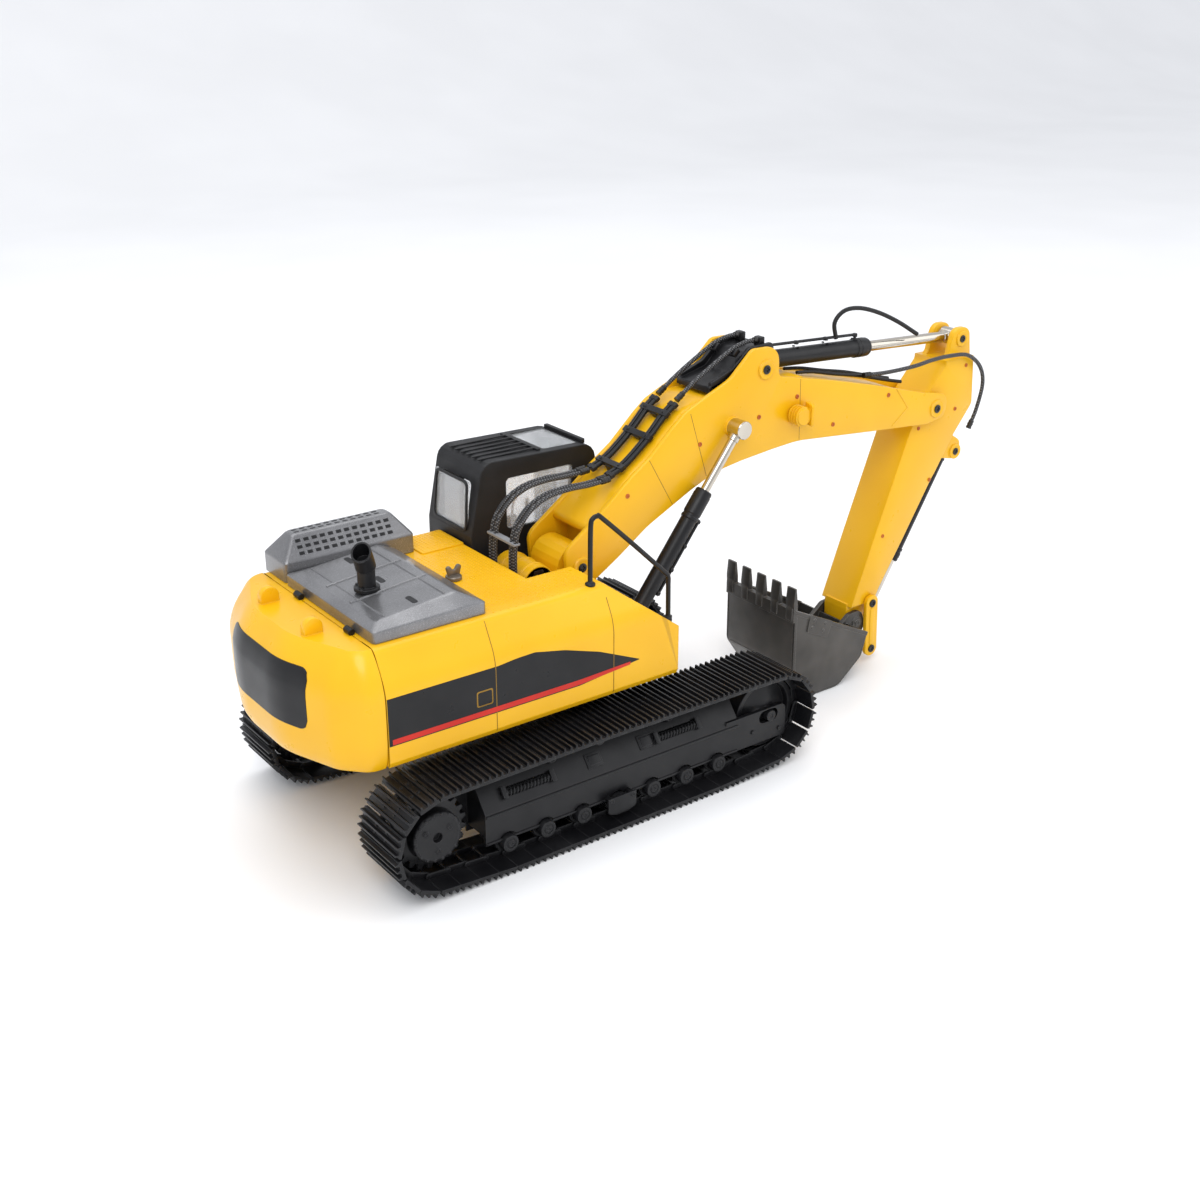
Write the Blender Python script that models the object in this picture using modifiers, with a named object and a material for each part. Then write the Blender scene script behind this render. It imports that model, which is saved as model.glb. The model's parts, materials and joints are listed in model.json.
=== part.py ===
"""Toy tracked excavator: crawler undercarriage, slewing house, boom, stick and bucket.

Metres, +Z up. +X points from the counterweight to the bucket and +Y to the cab side.
Every shape is drawn in machine coordinates, measured from the slew axis on the ground,
and mount_on() hands it to the empty that stands on its body's joint axis.
"""

from math import atan2, cos, degrees, hypot, pi, radians, sin

import bmesh
import bpy
from mathutils import Matrix, Vector

# ---------------------------------------------------------------- driving dimensions
slew_x = -0.09924  # slew axis, from the middle of the whole model
gap = 0.0003  # between pieces that touch
running_gap = 0.0006  # beside a turning wheel
bite = 0.0006  # how far two joined solids run into each other

track_middle = 0.0765  # slew axis to a track's centre line
shoe_width = 0.042
shoe_count = 52
shoe_plate = 0.0026  # plate thickness
grouser_height = 0.0018
chain_width = 0.015
chain_height = 0.0036
end_radius = 0.032  # belt's outer radius at sprocket and idler
end_height = 0.0349  # sprocket and idler axis above the ground
sprocket_x = -0.123
idler_x = 0.1185
belt_top = 0.0685  # highest run, over the carrier roller
carrier_x = -0.010

wheel_count = 7
first_wheel_x = -0.0778
wheel_pitch = 0.0255
wheel_radius = 0.0070
wheel_flange_width = 0.0174
hub_face = track_middle + 0.0150  # outer face of wheel hubs, from the machine's middle plane

frame_inner = track_middle - 0.0105  # track frame's inner face
frame_outer = track_middle + 0.0115
frame_web = track_middle - 0.0079  # outer side of the frame's inner plates
frame_bottom = 0.0175
frame_shoulder = 0.0375
frame_top = 0.0515
frame_half_length = 0.0925
channel_clearance = 0.0006  # wheel to frame channel

house_bottom = 0.0790
deck_top = 0.1446
deck_thickness = 0.0036
side_thickness = 0.0030
house_half_width = 0.0770
deck_half_width = 0.0660
counterweight_x = -0.1436
well_x = -0.0260  # front edge of the engine deck
well_right = -0.0330
foot_bay = 0.0343  # half width of the open front bay round the boom cylinders
well_floor = 0.0990
ramp_x = 0.0051  # front edge of the right-hand deck
house_front = 0.0520
ramp_front_height = 0.1100
tail_reach = 0.1815  # slew axis to the counterweight's rearmost point
shoulder_inset = 0.0120  # how far the top edge is rolled in from the side

hood_rear = -0.1408
hood_front = -0.0710
hood_right = -0.0620
hood_left = 0.0400
hood_wall = 0.0065
hood_rear_height = 0.0092
hood_front_height = 0.0144
hood_insets = (0.0058, 0.0149, 0.0080)  # of the top face: rear, front, sides
hood_shell = 0.0022
bay_margin = 0.0040  # hood's overlap on the deck round the battery bay

boom_half_width = 0.0210
boom_foot = (0.0220, 0.1360)
stick_half_width = 0.0150
stick_pin = (0.3260, 0.1820)
bucket_pin = (0.2675, 0.0330)
rocker_pin = (0.2790, 0.0460)
rod_end_pin = (0.2810, 0.0100)
bucket_link_pin = (0.2620, 0.0090)
boom_eye = (0.1378, 0.2030)
boom_cylinder_foot = (0.0538, 0.0930)
boom_cylinder_y = 0.0276
boom_eye_half = 0.0044  # half width of the rods' eyes on the boom
arm_foot_pin = (0.1643, 0.2350)
arm_eye_pin = (0.3570, 0.2250)
bucket_cylinder_pin = (0.3610, 0.1420)
arm_rod_start = 0.0600      # from the barrel's foot pin, so that the rod keeps clear of the bore's floor
bucket_rod_start = 0.0430
side_gap = 0.0008  # running gap beside a swinging eye
ear_slot_half = 0.0165
pin_radius = 0.0031
bore_radius = 0.0035
rocker_bore_radius = 0.0031
ear_slot_floor = 0.2250

bucket_half_width = 0.0345
bucket_wall = 0.0022
tooth_count = 5
tooth_width = 0.0068
tooth_top = 0.0805
tooth_root = 0.0500

hose_diameter = 0.0028
pipe_diameter = 0.0030
rail_diameter = 0.0028

machine = bpy.data.collections.new("toy_excavator")
cutters = bpy.data.collections.new("cutters")


def clear_scene():
    for obj in list(bpy.data.objects):
        bpy.data.objects.remove(obj, do_unlink=True)
    bpy.context.scene.collection.children.link(machine)
    bpy.context.scene.collection.children.link(cutters)


# ---------------------------------------------------------------- materials
def finish(name, colour, roughness, metallic=0.0, alpha=1.0):
    made = bpy.data.materials.new(name)
    made.use_nodes = True
    shader = made.node_tree.nodes["Principled BSDF"]
    shader.inputs["Base Color"].default_value = (*colour, 1.0)
    shader.inputs["Roughness"].default_value = roughness
    shader.inputs["Metallic"].default_value = metallic
    shader.inputs["Alpha"].default_value = alpha
    made.diffuse_color = (*colour, alpha)
    return made


yellow = finish("yellow_paint", (0.90, 0.56, 0.02), 0.34)
black = finish("black_plastic", (0.018, 0.018, 0.020), 0.45)
track_black = finish("track_black", (0.012, 0.012, 0.013), 0.50, 0.3)
silver = finish("silver_paint", (0.42, 0.41, 0.42), 0.36, 0.6)
gunmetal = finish("gunmetal", (0.105, 0.100, 0.095), 0.42, 0.8)
chrome = finish("rod_chrome", (0.80, 0.79, 0.76), 0.16, 1.0)
rubber = finish("hose_rubber", (0.025, 0.025, 0.025), 0.62)
clear = finish("clear_plastic", (0.92, 0.94, 0.95), 0.06, 0.0, 0.35)
inner_grey = finish("inner_grey", (0.30, 0.31, 0.33), 0.5)
board_green = finish("board_green", (0.02, 0.16, 0.06), 0.5)
pin_steel = finish("pin_steel", (0.20, 0.19, 0.19), 0.35, 0.9)


# ---------------------------------------------------------------- modelling helpers
def mesh_object(name, mesh):
    obj = bpy.data.objects.new(name, mesh)
    machine.objects.link(obj)
    return obj


def bmesh_object(name, bm):
    mesh = bpy.data.meshes.new(name)
    bm.to_mesh(mesh)
    bm.free()
    return mesh_object(name, mesh)


def baked(obj):
    """The object with its modifiers, curve settings and transform made plain mesh."""
    bpy.context.view_layer.update()
    graph = bpy.context.evaluated_depsgraph_get()
    mesh = bpy.data.meshes.new_from_object(obj.evaluated_get(graph))
    mesh.transform(obj.matrix_world)
    name = obj.name
    bpy.data.objects.remove(obj, do_unlink=True)
    bm = bmesh.new()
    bm.from_mesh(mesh)
    bmesh.ops.remove_doubles(bm, verts=bm.verts, dist=0.000004)
    bm.to_mesh(mesh)
    bm.free()
    return mesh_object(name, mesh)


def bevelled(obj, width, segments=1, angle=35):
    modifier = obj.modifiers.new("Bevel", "BEVEL")
    modifier.width = width
    modifier.segments = segments
    modifier.limit_method = "ANGLE"
    modifier.angle_limit = radians(angle)
    return baked(obj)


def joined(first, *others):
    for other in others:
        modifier = first.modifiers.new("Join", "BOOLEAN")
        modifier.operation = "UNION"
        modifier.solver = "EXACT"
        modifier.object = other
        result = baked(first)
        bpy.data.objects.remove(other, do_unlink=True)
        first = result
    return first


def cut(first, *others):
    for other in others:
        modifier = first.modifiers.new("Cut", "BOOLEAN")
        modifier.operation = "DIFFERENCE"
        modifier.solver = "EXACT"
        modifier.object = other
        result = baked(first)
        bpy.data.objects.remove(other, do_unlink=True)
        first = result
    return first


def block(name, low, high):
    bm = bmesh.new()
    bmesh.ops.create_cube(bm, size=1.0)
    size = Vector(high) - Vector(low)
    middle = (Vector(high) + Vector(low)) / 2
    bmesh.ops.scale(bm, vec=size, verts=bm.verts)
    bmesh.ops.translate(bm, vec=middle, verts=bm.verts)
    return bmesh_object(name, bm)


def rod(name, start, end, radius, sides=20, end_radius=None):
    """A cylinder or cone between two points."""
    start = Vector(start)
    end = Vector(end)
    bm = bmesh.new()
    bmesh.ops.create_cone(
        bm,
        cap_ends=True,
        segments=sides,
        radius1=radius,
        radius2=radius if end_radius is None else end_radius,
        depth=(end - start).length,
    )
    turn = (end - start).to_track_quat("Z", "Y").to_matrix().to_4x4()
    bmesh.ops.transform(bm, matrix=Matrix.Translation((start + end) / 2) @ turn, verts=bm.verts)
    return bmesh_object(name, bm)


def rounded(corners, steps=4):
    """A closed outline from corners (a, b, radius); a radius above 0 becomes an arc."""
    points = []
    count = len(corners)
    for i, (a, b, radius) in enumerate(corners):
        if radius <= 0:
            points.append((a, b))
            continue
        here = Vector((a, b))
        back = (Vector(corners[i - 1][:2]) - here).normalized()
        ahead = (Vector(corners[(i + 1) % count][:2]) - here).normalized()
        half = back.angle(ahead) / 2
        reach = radius / sin(half)
        centre = here + (back + ahead).normalized() * reach
        first = here + back * (radius / (sin(half) / cos(half))) - centre
        last = here + ahead * (radius / (sin(half) / cos(half))) - centre
        sweep = first.angle_signed(last)
        for k in range(steps + 1):
            angle = -sweep * k / steps
            points.append(tuple(centre + Matrix.Rotation(angle, 2) @ first))
    return points


def disc_points(centre, radius, count=24):
    return [
        (centre[0] + radius * cos(2 * pi * k / count), centre[1] + radius * sin(2 * pi * k / count))
        for k in range(count)
    ]


def hull(points):
    """The convex outline round a set of points, anticlockwise."""
    points = sorted(set(points))

    def chain(run):
        kept = []
        for p in run:
            while len(kept) > 1:
                ax, ay = kept[-1][0] - kept[-2][0], kept[-1][1] - kept[-2][1]
                bx, by = p[0] - kept[-2][0], p[1] - kept[-2][1]
                if ax * by - ay * bx > 1e-12:
                    break
                kept.pop()
            kept.append(p)
        return kept[:-1]

    return chain(points) + chain(reversed(points))


def resampled(outline, count):
    """A closed outline walked at count equal steps."""
    ring = outline + outline[:1]
    lengths = [hypot(q[0] - p[0], q[1] - p[1]) for p, q in zip(ring, ring[1:])]
    step = sum(lengths) / count
    found = []
    walked = 0.0
    i = 0
    for k in range(count):
        while walked + lengths[i] < k * step:
            walked += lengths[i]
            i += 1
        share = (k * step - walked) / lengths[i]
        p, q = ring[i], ring[i + 1]
        found.append((p[0] + (q[0] - p[0]) * share, p[1] + (q[1] - p[1]) * share))
    return found


def plate(name, outlines, low, high, axis="Y"):
    """Flat outlines, the first outside and the rest holes, given thickness along an axis."""
    curve = bpy.data.curves.new(name, "CURVE")
    curve.dimensions = "2D"
    curve.fill_mode = "BOTH"
    curve.extrude = (high - low) / 2
    for outline in outlines:
        spline = curve.splines.new("POLY")
        spline.points.add(len(outline) - 1)
        for point, (a, b) in zip(spline.points, outline):
            point.co = (a, b, 0.0, 1.0)
        spline.use_cyclic_u = True
    obj = mesh_object(name, curve)
    middle = (high + low) / 2
    if axis == "Y":  # outline is (x, z)
        obj.rotation_euler = (pi / 2, 0.0, 0.0)
        obj.location = (0.0, middle, 0.0)
    elif axis == "X":  # outline is (y, z)
        obj.rotation_euler = (pi / 2, 0.0, pi / 2)
        obj.location = (middle, 0.0, 0.0)
    else:  # outline is (x, y)
        obj.location = (0.0, 0.0, middle)
    obj = baked(obj)
    bm = bmesh.new()
    bm.from_mesh(obj.data)
    bmesh.ops.recalc_face_normals(bm, faces=bm.faces)
    bm.to_mesh(obj.data)
    bm.free()
    return obj


def turned(name, profile, centre, side, steps=24):
    """A profile (radius, distance outwards) spun about a Y axis through centre (x, z)."""
    mesh = bpy.data.meshes.new(name)
    mesh.from_pydata(
        [(radius, 0.0, out) for radius, out in profile],
        [(i, i + 1) for i in range(len(profile) - 1)],
        [],
    )
    obj = mesh_object(name, mesh)
    screw = obj.modifiers.new("Screw", "SCREW")
    screw.steps = steps
    screw.render_steps = steps
    screw.use_merge_vertices = True
    screw.merge_threshold = 0.00001
    obj.rotation_euler = (-side * pi / 2, 0.0, 0.0)
    obj.location = (centre[0], 0.0, centre[1])
    return baked(obj)


def tube(name, points, diameter, resolution=2):
    """A round bar along points, as one closed mesh."""
    curve = bpy.data.curves.new(name, "CURVE")
    curve.dimensions = "3D"
    curve.bevel_depth = diameter / 2
    curve.bevel_resolution = resolution
    curve.use_fill_caps = True
    spline = curve.splines.new("POLY")
    spline.points.add(len(points) - 1)
    for point, place in zip(spline.points, points):
        point.co = (*place, 1.0)
    return baked(mesh_object(name, curve))


def smooth_route(points, count):
    """A smooth curve through hand-placed points, at count even parameters."""
    points = [Vector(p) for p in points]
    ends = [2 * points[0] - points[1]] + points + [2 * points[-1] - points[-2]]
    spans = len(points) - 1
    route = []
    for k in range(count):
        at = k * spans / (count - 1)
        i = min(int(at), spans - 1)
        t = at - i
        a, b, c, d = ends[i : i + 4]
        route.append(
            0.5 * (2 * b + (c - a) * t + (2 * a - 5 * b + 4 * c - d) * t * t + (3 * b - a - 3 * c + d) * t ** 3)
        )
    return route


# ---------------------------------------------------------------- bodies
pivots = {}


def body(name, pivot, parent=None):
    """An empty on a body's joint axis, at pivot in machine coordinates."""
    empty = bpy.data.objects.new(name + "_axis", None)
    empty.empty_display_size = 0.01
    machine.objects.link(empty)
    pivots[name] = Vector(pivot)
    if parent is None:
        empty.location = Vector(pivot) + Vector((slew_x, 0.0, 0.0))
    else:
        empty.parent = bpy.data.objects[parent + "_axis"]
        empty.location = pivots[name] - pivots[parent]


def mount_on(obj, owner, material):
    """Parent a solid to its body's empty, with its origin on that axis."""
    obj.data.transform(Matrix.Translation(-pivots[owner]))
    obj.parent = bpy.data.objects[owner + "_axis"]
    obj.data.materials.clear()
    obj.data.materials.append(material)
    obj.data.shade_smooth()
    obj.data.set_sharp_from_angle(angle=radians(32))
    return obj


def on_plane(pin, y=0.0):
    return (pin[0], y, pin[1])


# ---------------------------------------------------------------- crawler tracks
def wheel_x(index):
    return first_wheel_x + index * wheel_pitch


def belt_outline(inset):
    """The belt's outline, set in from the grouser tips by inset."""
    last_x = wheel_x(wheel_count - 1)
    run_radius = 0.0153
    circles = [
        ((sprocket_x, end_height), end_radius),
        ((idler_x, end_height), end_radius),
        ((first_wheel_x, run_radius), run_radius),
        ((last_x, run_radius), run_radius),
        ((carrier_x, belt_top - run_radius), run_radius),
    ]
    points = []
    for centre, radius in circles:
        points += disc_points(centre, radius - inset, 72)
    return hull(points)


def make_belt(name, side):
    """Shoe band with one grouser ridge a shoe and the narrower chain inside it, as one ring."""
    per_shoe = 4
    base = resampled(belt_outline(grouser_height), shoe_count * per_shoe)
    middle = side * track_middle
    wide = shoe_width / 2
    narrow = chain_width / 2
    bm = bmesh.new()
    rings = []
    for i, (x, z) in enumerate(base):
        before = base[i - 1]
        after = base[(i + 1) % len(base)]
        length = hypot(after[0] - before[0], after[1] - before[1])
        out_x = (after[1] - before[1]) / length
        out_z = -(after[0] - before[0]) / length
        crest = grouser_height if i % per_shoe in (1, 2) else 0.0
        section = (
            (-wide, crest), (wide, crest), (wide, -shoe_plate), (narrow, -shoe_plate),
            (narrow, -shoe_plate - chain_height), (-narrow, -shoe_plate - chain_height),
            (-narrow, -shoe_plate), (-wide, -shoe_plate),
        )
        ring = [(x + out_x * out, middle + across, z + out_z * out) for across, out in section]
        rings.append([bm.verts.new(place) for place in ring])
    for first, second in zip(rings, rings[1:] + rings[:1]):
        for k in range(8):
            bm.faces.new((first[k], first[(k + 1) % 8], second[(k + 1) % 8], second[k]))
    bmesh.ops.recalc_face_normals(bm, faces=bm.faces)
    return bmesh_object(name, bm)


def make_sprocket(name, side):
    """Toothed wheel with a stepped hub cover on its outer side."""
    teeth = 21
    root = 0.0196
    tip = 0.0224
    outline = []
    for k in range(teeth):
        for share, radius in ((0.0, root), (0.25, root), (0.42, tip), (0.58, tip), (0.75, root)):
            if share == 0.0:
                continue
            angle = 2 * pi * (k + share) / teeth
            outline.append((sprocket_x + radius * cos(angle), end_height + radius * sin(angle)))
    near, far = sorted((side * (track_middle - 0.0045), side * (track_middle + 0.0045)))
    wheel = plate(name, [outline], near, far)
    face = track_middle + 0.0131
    cover = turned(
        name + "_cover",
        [(0.0, face), (0.0070, face), (0.0080, face - 0.0012), (0.0142, face - 0.0012), (0.0152, face - 0.0022),
         (0.0152, face - 0.0096), (0.0, face - 0.0096)],
        (sprocket_x, end_height),
        side,
        20,
    )
    return joined(wheel, cover)


def make_idler(name, side):
    """Dished front wheel on a shaft whose end block shows in the frame's slot."""
    shaft_end = track_middle + 0.0130
    outer = track_middle + 0.0060
    inner = track_middle - 0.0060
    return turned(
        name,
        [(0.0, shaft_end), (0.0036, shaft_end), (0.0036, outer + 0.0010), (0.0080, outer), (0.0190, outer - 0.0035),
         (0.0200, outer), (0.0232, outer), (0.0232, inner), (0.0200, inner), (0.0190, inner + 0.0035),
         (0.0080, inner), (0.0, inner)],
        (idler_x, end_height),
        side,
        24,
    )


def make_wheel(name, side, x):
    """Road wheel with a flange each side of its tread and a stepped hub cap."""
    inner = track_middle - wheel_flange_width / 2
    outer = track_middle + wheel_flange_width / 2
    tread = wheel_radius - 0.0012
    profile = [
        (0.0, hub_face), (0.0044, hub_face), (0.0054, hub_face - 0.0012), (0.0054, outer),
        (wheel_radius, outer), (wheel_radius, outer - 0.0022), (tread, outer - 0.0030), (tread, inner + 0.0030),
        (wheel_radius, inner + 0.0022), (wheel_radius, inner), (0.0, inner),
    ]
    return turned(name, profile, (x, wheel_axis_height()), side, 12)


def wheel_axis_height():
    """Wheels stand on the chain with a running gap."""
    return grouser_height + shoe_plate + chain_height + running_gap + wheel_radius


def make_carrier(name, side):
    """Small roller that holds the belt's upper run up."""
    radius = 0.0034
    outer = track_middle + 0.0071
    inner = track_middle - 0.0067
    height = belt_top - grouser_height - shoe_plate - chain_height - running_gap - radius
    return turned(
        name,
        [(0.0, outer), (radius, outer), (radius, inner), (0.0, inner)],
        (carrier_x, height),
        side,
        16,
    )


def make_frame(name, side):
    """Channel-shaped track frame, final drive boss at the rear and idler fork at the front."""
    sloped_in = track_middle + 0.0005
    section = [
        (side * frame_inner, frame_bottom),
        (side * frame_outer, frame_bottom),
        (side * frame_outer, frame_shoulder),
        (side * sloped_in, frame_top),
        (side * frame_inner, frame_top),
    ]
    frame = plate(name, [section], -frame_half_length, frame_half_length, "X")
    half_channel = wheel_flange_width / 2 + channel_clearance
    channel_top = wheel_axis_height() + wheel_radius + channel_clearance
    near, far = sorted((side * (track_middle - half_channel), side * (track_middle + half_channel)))
    reach = frame_half_length + 0.01
    frame = cut(frame, block("channel", (-reach, near, 0.0), (reach, far, channel_top)))
    for i in range(wheel_count):
        start = on_plane((wheel_x(i), wheel_axis_height()), side * (track_middle + 0.004))
        end = on_plane((wheel_x(i), wheel_axis_height()), side * (frame_outer + 0.004))
        frame = cut(frame, rod("scallop", start, end, 0.0066, 16))
    inner_near, inner_far = sorted((side * frame_inner, side * frame_web))
    tail = plate(
        "tail",
        [rounded([(-frame_half_length + 0.012, 0.0235, 0), (-frame_half_length + 0.012, 0.0465, 0),
                  (sprocket_x - 0.0170, 0.0505, 0.016), (sprocket_x - 0.0170, 0.0190, 0.015)])],
        inner_near,
        inner_far,
    )
    drive = rod("drive", on_plane((sprocket_x, end_height), side * frame_inner),
                on_plane((sprocket_x, end_height), side * (track_middle - 0.0051)), 0.0135, 24)
    nose_outline = rounded([(frame_half_length - 0.010, 0.0180, 0), (idler_x + 0.0130, 0.0180, 0.003),
                            (idler_x + 0.0130, 0.0400, 0.004), (frame_half_length - 0.010, 0.0400, 0)])
    slot = rounded([(idler_x - 0.0090, end_height - 0.0042, 0.0040), (idler_x + 0.0065, end_height - 0.0042, 0.0040),
                    (idler_x + 0.0065, end_height + 0.0042, 0.0040), (idler_x - 0.0090, end_height + 0.0042, 0.0040)])
    outer_near, outer_far = sorted((side * (track_middle + 0.0087), side * frame_outer))
    nose_out = plate("nose_out", [nose_outline, slot], outer_near, outer_far)
    nose_in = plate("nose_in", [nose_outline, slot], inner_near, inner_far)
    ear_near, ear_far = sorted((side * frame_inner, side * frame_web))
    bracket = block("bracket", (carrier_x - 0.005, ear_near, frame_top - bite), (carrier_x + 0.005, ear_far, 0.0560))
    return joined(frame, tail, drive, nose_out, nose_in, bracket)


def make_car_body():
    """H-shaped centre frame between the tracks with the slew pedestal on it."""
    reach = frame_inner - gap
    legs = rounded([
        (-0.066, -reach, 0), (-0.036, -reach, 0), (-0.024, -0.044, 0.006), (0.024, -0.044, 0.006),
        (0.036, -reach, 0), (0.066, -reach, 0), (0.052, -0.030, 0.010), (0.052, 0.030, 0.010),
        (0.066, reach, 0), (0.036, reach, 0), (0.024, 0.044, 0.006), (-0.024, 0.044, 0.006),
        (-0.036, reach, 0), (-0.066, reach, 0), (-0.052, 0.030, 0.010), (-0.052, -0.030, 0.010),
    ], 3)
    base = plate("car_body", [legs], 0.0250, 0.0500, "Z")
    base = bevelled(base, 0.0015)
    pedestal = rod("pedestal", (0.0, 0.0, 0.0490), (0.0, 0.0, 0.0735), 0.0460, 48, 0.0440)
    return joined(base, pedestal)


def make_slew_ring():
    """Toothed turntable ring between the car body and the house."""
    teeth = 36
    outline = []
    for k in range(teeth):
        for share, radius in ((0.10, 0.0400), (0.35, 0.0418), (0.65, 0.0418), (0.90, 0.0400)):
            angle = 2 * pi * (k + share) / teeth
            outline.append((radius * cos(angle), radius * sin(angle)))
    return plate("slew_ring", [outline, disc_points((0.0, 0.0), 0.0300, 28)], 0.0738, house_bottom - gap, "Z")


# ---------------------------------------------------------------- house
def house_section():
    """House cross-section (y, z): upright sides rolled over to the deck."""
    lower = 0.0030
    return rounded([
        (-house_half_width + 0.0015, house_bottom, 0), (house_half_width - 0.0015, house_bottom, 0),
        (house_half_width, house_bottom + lower, 0), (house_half_width, 0.1240, 0.030),
        (deck_half_width, deck_top, 0.006), (-deck_half_width, deck_top, 0.006),
        (-house_half_width, 0.1240, 0.030), (-house_half_width, house_bottom + lower, 0),
    ])


def make_house():
    """Deck casting: engine box at the rear, open boom well, cab floor and front step."""
    cab_floor_x = 0.0700
    house = plate("house_deck", [house_section()], counterweight_x + gap, cab_floor_x, "X")
    far = 0.1
    top = deck_top + 0.01
    house = cut(house, block("over_well", (well_x, well_right, well_floor), (far, far, top)))
    house = cut(house, block("front_gap", (0.0420, -foot_bay, 0.0), (far, foot_bay, top)))
    house = cut(house, block("before_step", (house_front, -far, 0.0), (far, well_right, top)))
    slope = (deck_top - ramp_front_height) / (house_front - ramp_x)
    wedge = [(ramp_x, deck_top), (far, deck_top - slope * (far - ramp_x)), (far, top), (ramp_x, top)]
    house = cut(house, plate("over_ramp", [wedge], -far, well_right + 0.001))
    cavity = [
        (-house_half_width + side_thickness, house_bottom + side_thickness, 0),
        (house_half_width - side_thickness, house_bottom + side_thickness, 0),
        (house_half_width - side_thickness, 0.1220, 0),
        (deck_half_width - side_thickness, deck_top - deck_thickness, 0),
        (-deck_half_width + side_thickness, deck_top - deck_thickness, 0),
        (-house_half_width + side_thickness, 0.1220, 0),
    ]
    inside = plate("inside", [rounded(cavity)], counterweight_x + 0.0040, well_x - side_thickness, "X")
    house = cut(house, inside)
    opening = block(
        "opening",
        (hood_rear + bay_margin, hood_right + bay_margin, deck_top - 0.02),
        (hood_front - bay_margin, hood_left - bay_margin, top),
    )
    house = cut(house, opening)
    tongue_half = 0.0140
    tongue = plate(
        "tongue",
        [rounded([(0.0040, well_floor - bite, 0), (0.0400, well_floor - bite, 0), (0.0335, 0.1475, 0.0120),
                  (0.0105, 0.1475, 0.0120)])],
        -tongue_half,
        tongue_half,
    )
    pod = rod("pod", (-0.0062, -0.0165, 0.1310), (-0.0062, 0.0165, 0.1310), 0.0110, 24)
    pod_foot = block("pod_foot", (-0.0140, -0.0120, well_floor - bite), (0.0060, 0.0120, 0.1250))
    feet = []
    for side in (-1, 1):
        near, far = sorted((side * 0.0172, side * 0.0208))
        outline = rounded([(0.0300, 0.0880, 0), (0.0600, 0.0880, 0.006), (0.0600, 0.1010, 0.006), (0.0300, 0.1010, 0)])
        feet.append(plate("foot", [outline], near, far))
    house = joined(house, tongue, pod_foot, pod, *feet)
    return cut(house, make_pin("bore", boom_foot, 0.02, bore_radius, 20))


def loft(name, rings):
    """A closed solid through outlines of equal length, each a (height, points) pair."""
    bm = bmesh.new()
    made = [[bm.verts.new((x, y, z)) for x, y in points] for z, points in rings]
    count = len(made[0])
    for low, high in zip(made, made[1:]):
        for i in range(count):
            bm.faces.new((low[i], low[(i + 1) % count], high[(i + 1) % count], high[i]))
    bm.faces.new(made[0])
    bm.faces.new(made[-1])
    bmesh.ops.recalc_face_normals(bm, faces=bm.faces)
    return bmesh_object(name, bm)


def tail_outline(inset):
    """Counterweight outline (x, y), bowed at the rear, drawn in by inset."""
    wide = house_half_width - inset
    rear = tail_reach - inset
    front = counterweight_x - gap
    return rounded([
        (front, -wide, 0), (front, wide, 0), (-0.1525, wide, 0.012), (0.0130 - rear, 0.0620 - inset * 0.6, 0.020),
        (-rear, 0.0240, 0.060), (-rear, -0.0240, 0.060), (0.0130 - rear, -0.0620 + inset * 0.6, 0.020),
        (-0.1525, -wide, 0.012),
    ], 3)


def make_counterweight():
    """Cast tail weight, rolled over at the top, with a bowed rear face and two lifting lugs."""
    rise = deck_top - house_bottom
    levels = (
        (0.0, 0.0034), (0.07, 0.0014), (0.22, 0.0002), (0.60, 0.0), (0.72, 0.0012), (0.82, 0.0036),
        (0.91, 0.0070), (0.97, 0.0100), (1.0, shoulder_inset),
    )
    rings = [(house_bottom - 0.0008 + (rise + 0.0008) * share, tail_outline(inset)) for share, inset in levels]
    weight = loft("counterweight", rings)
    for y in (-0.0280, 0.0245):
        lug = plate(
            "lug",
            [rounded([(-0.1645, deck_top - 0.004, 0), (-0.1535, deck_top - 0.004, 0), (-0.1535, deck_top + 0.0090, 0.0054),
                      (-0.1645, deck_top + 0.0090, 0.0054)])],
            y - 0.0025,
            y + 0.0025,
        )
        weight = joined(weight, lug)
    return weight


def loft_box(name, x0, x1, y0, y1, low, wall, heights, insets):
    """Upright walls, then slopes in to a top face: heights (rear, front), insets (rear, front, sides)."""
    rear, front, side = insets
    base = [(x0, y0), (x1, y0), (x1, y1), (x0, y1)]
    bm = bmesh.new()
    rings = [[bm.verts.new((x, y, z)) for x, y in base] for z in (low, low + wall)]
    top = [
        (x0 + rear, y0 + side, low + heights[0]), (x1 - front, y0 + side, low + heights[1]),
        (x1 - front, y1 - side, low + heights[1]), (x0 + rear, y1 - side, low + heights[0]),
    ]
    rings.append([bm.verts.new(place) for place in top])
    for lower, upper in zip(rings, rings[1:]):
        for i in range(4):
            bm.faces.new((lower[i], lower[(i + 1) % 4], upper[(i + 1) % 4], upper[i]))
    bm.faces.new(rings[0])
    bm.faces.new(rings[-1])
    bmesh.ops.recalc_face_normals(bm, faces=bm.faces)
    return bmesh_object(name, bm)


def make_hood():
    """Sloped engine cover, hollow underneath."""
    low = deck_top + gap
    wall = hood_shell
    heights = (hood_rear_height, hood_front_height)
    outer = loft_box("engine_hood", hood_rear, hood_front, hood_right, hood_left, low, hood_wall, heights, hood_insets)
    inner = loft_box(
        "hood_inside", hood_rear + wall, hood_front - wall, hood_right + wall, hood_left - wall, low - 0.001,
        hood_wall - 0.0005, (hood_rear_height + 0.001 - wall, hood_front_height + 0.001 - wall), hood_insets,
    )
    return cut(outer, inner)


def make_louvre_box():
    return loft_box(
        "louvre_box", -0.1405, -0.0560, 0.0411, 0.0690, deck_top + gap, 0.0115, (0.0245, 0.0245), (0.0100, 0.0100, 0.0095))


exhaust_base = (-0.1203, -0.0187)
exhaust_flange_radius = 0.0072


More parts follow.
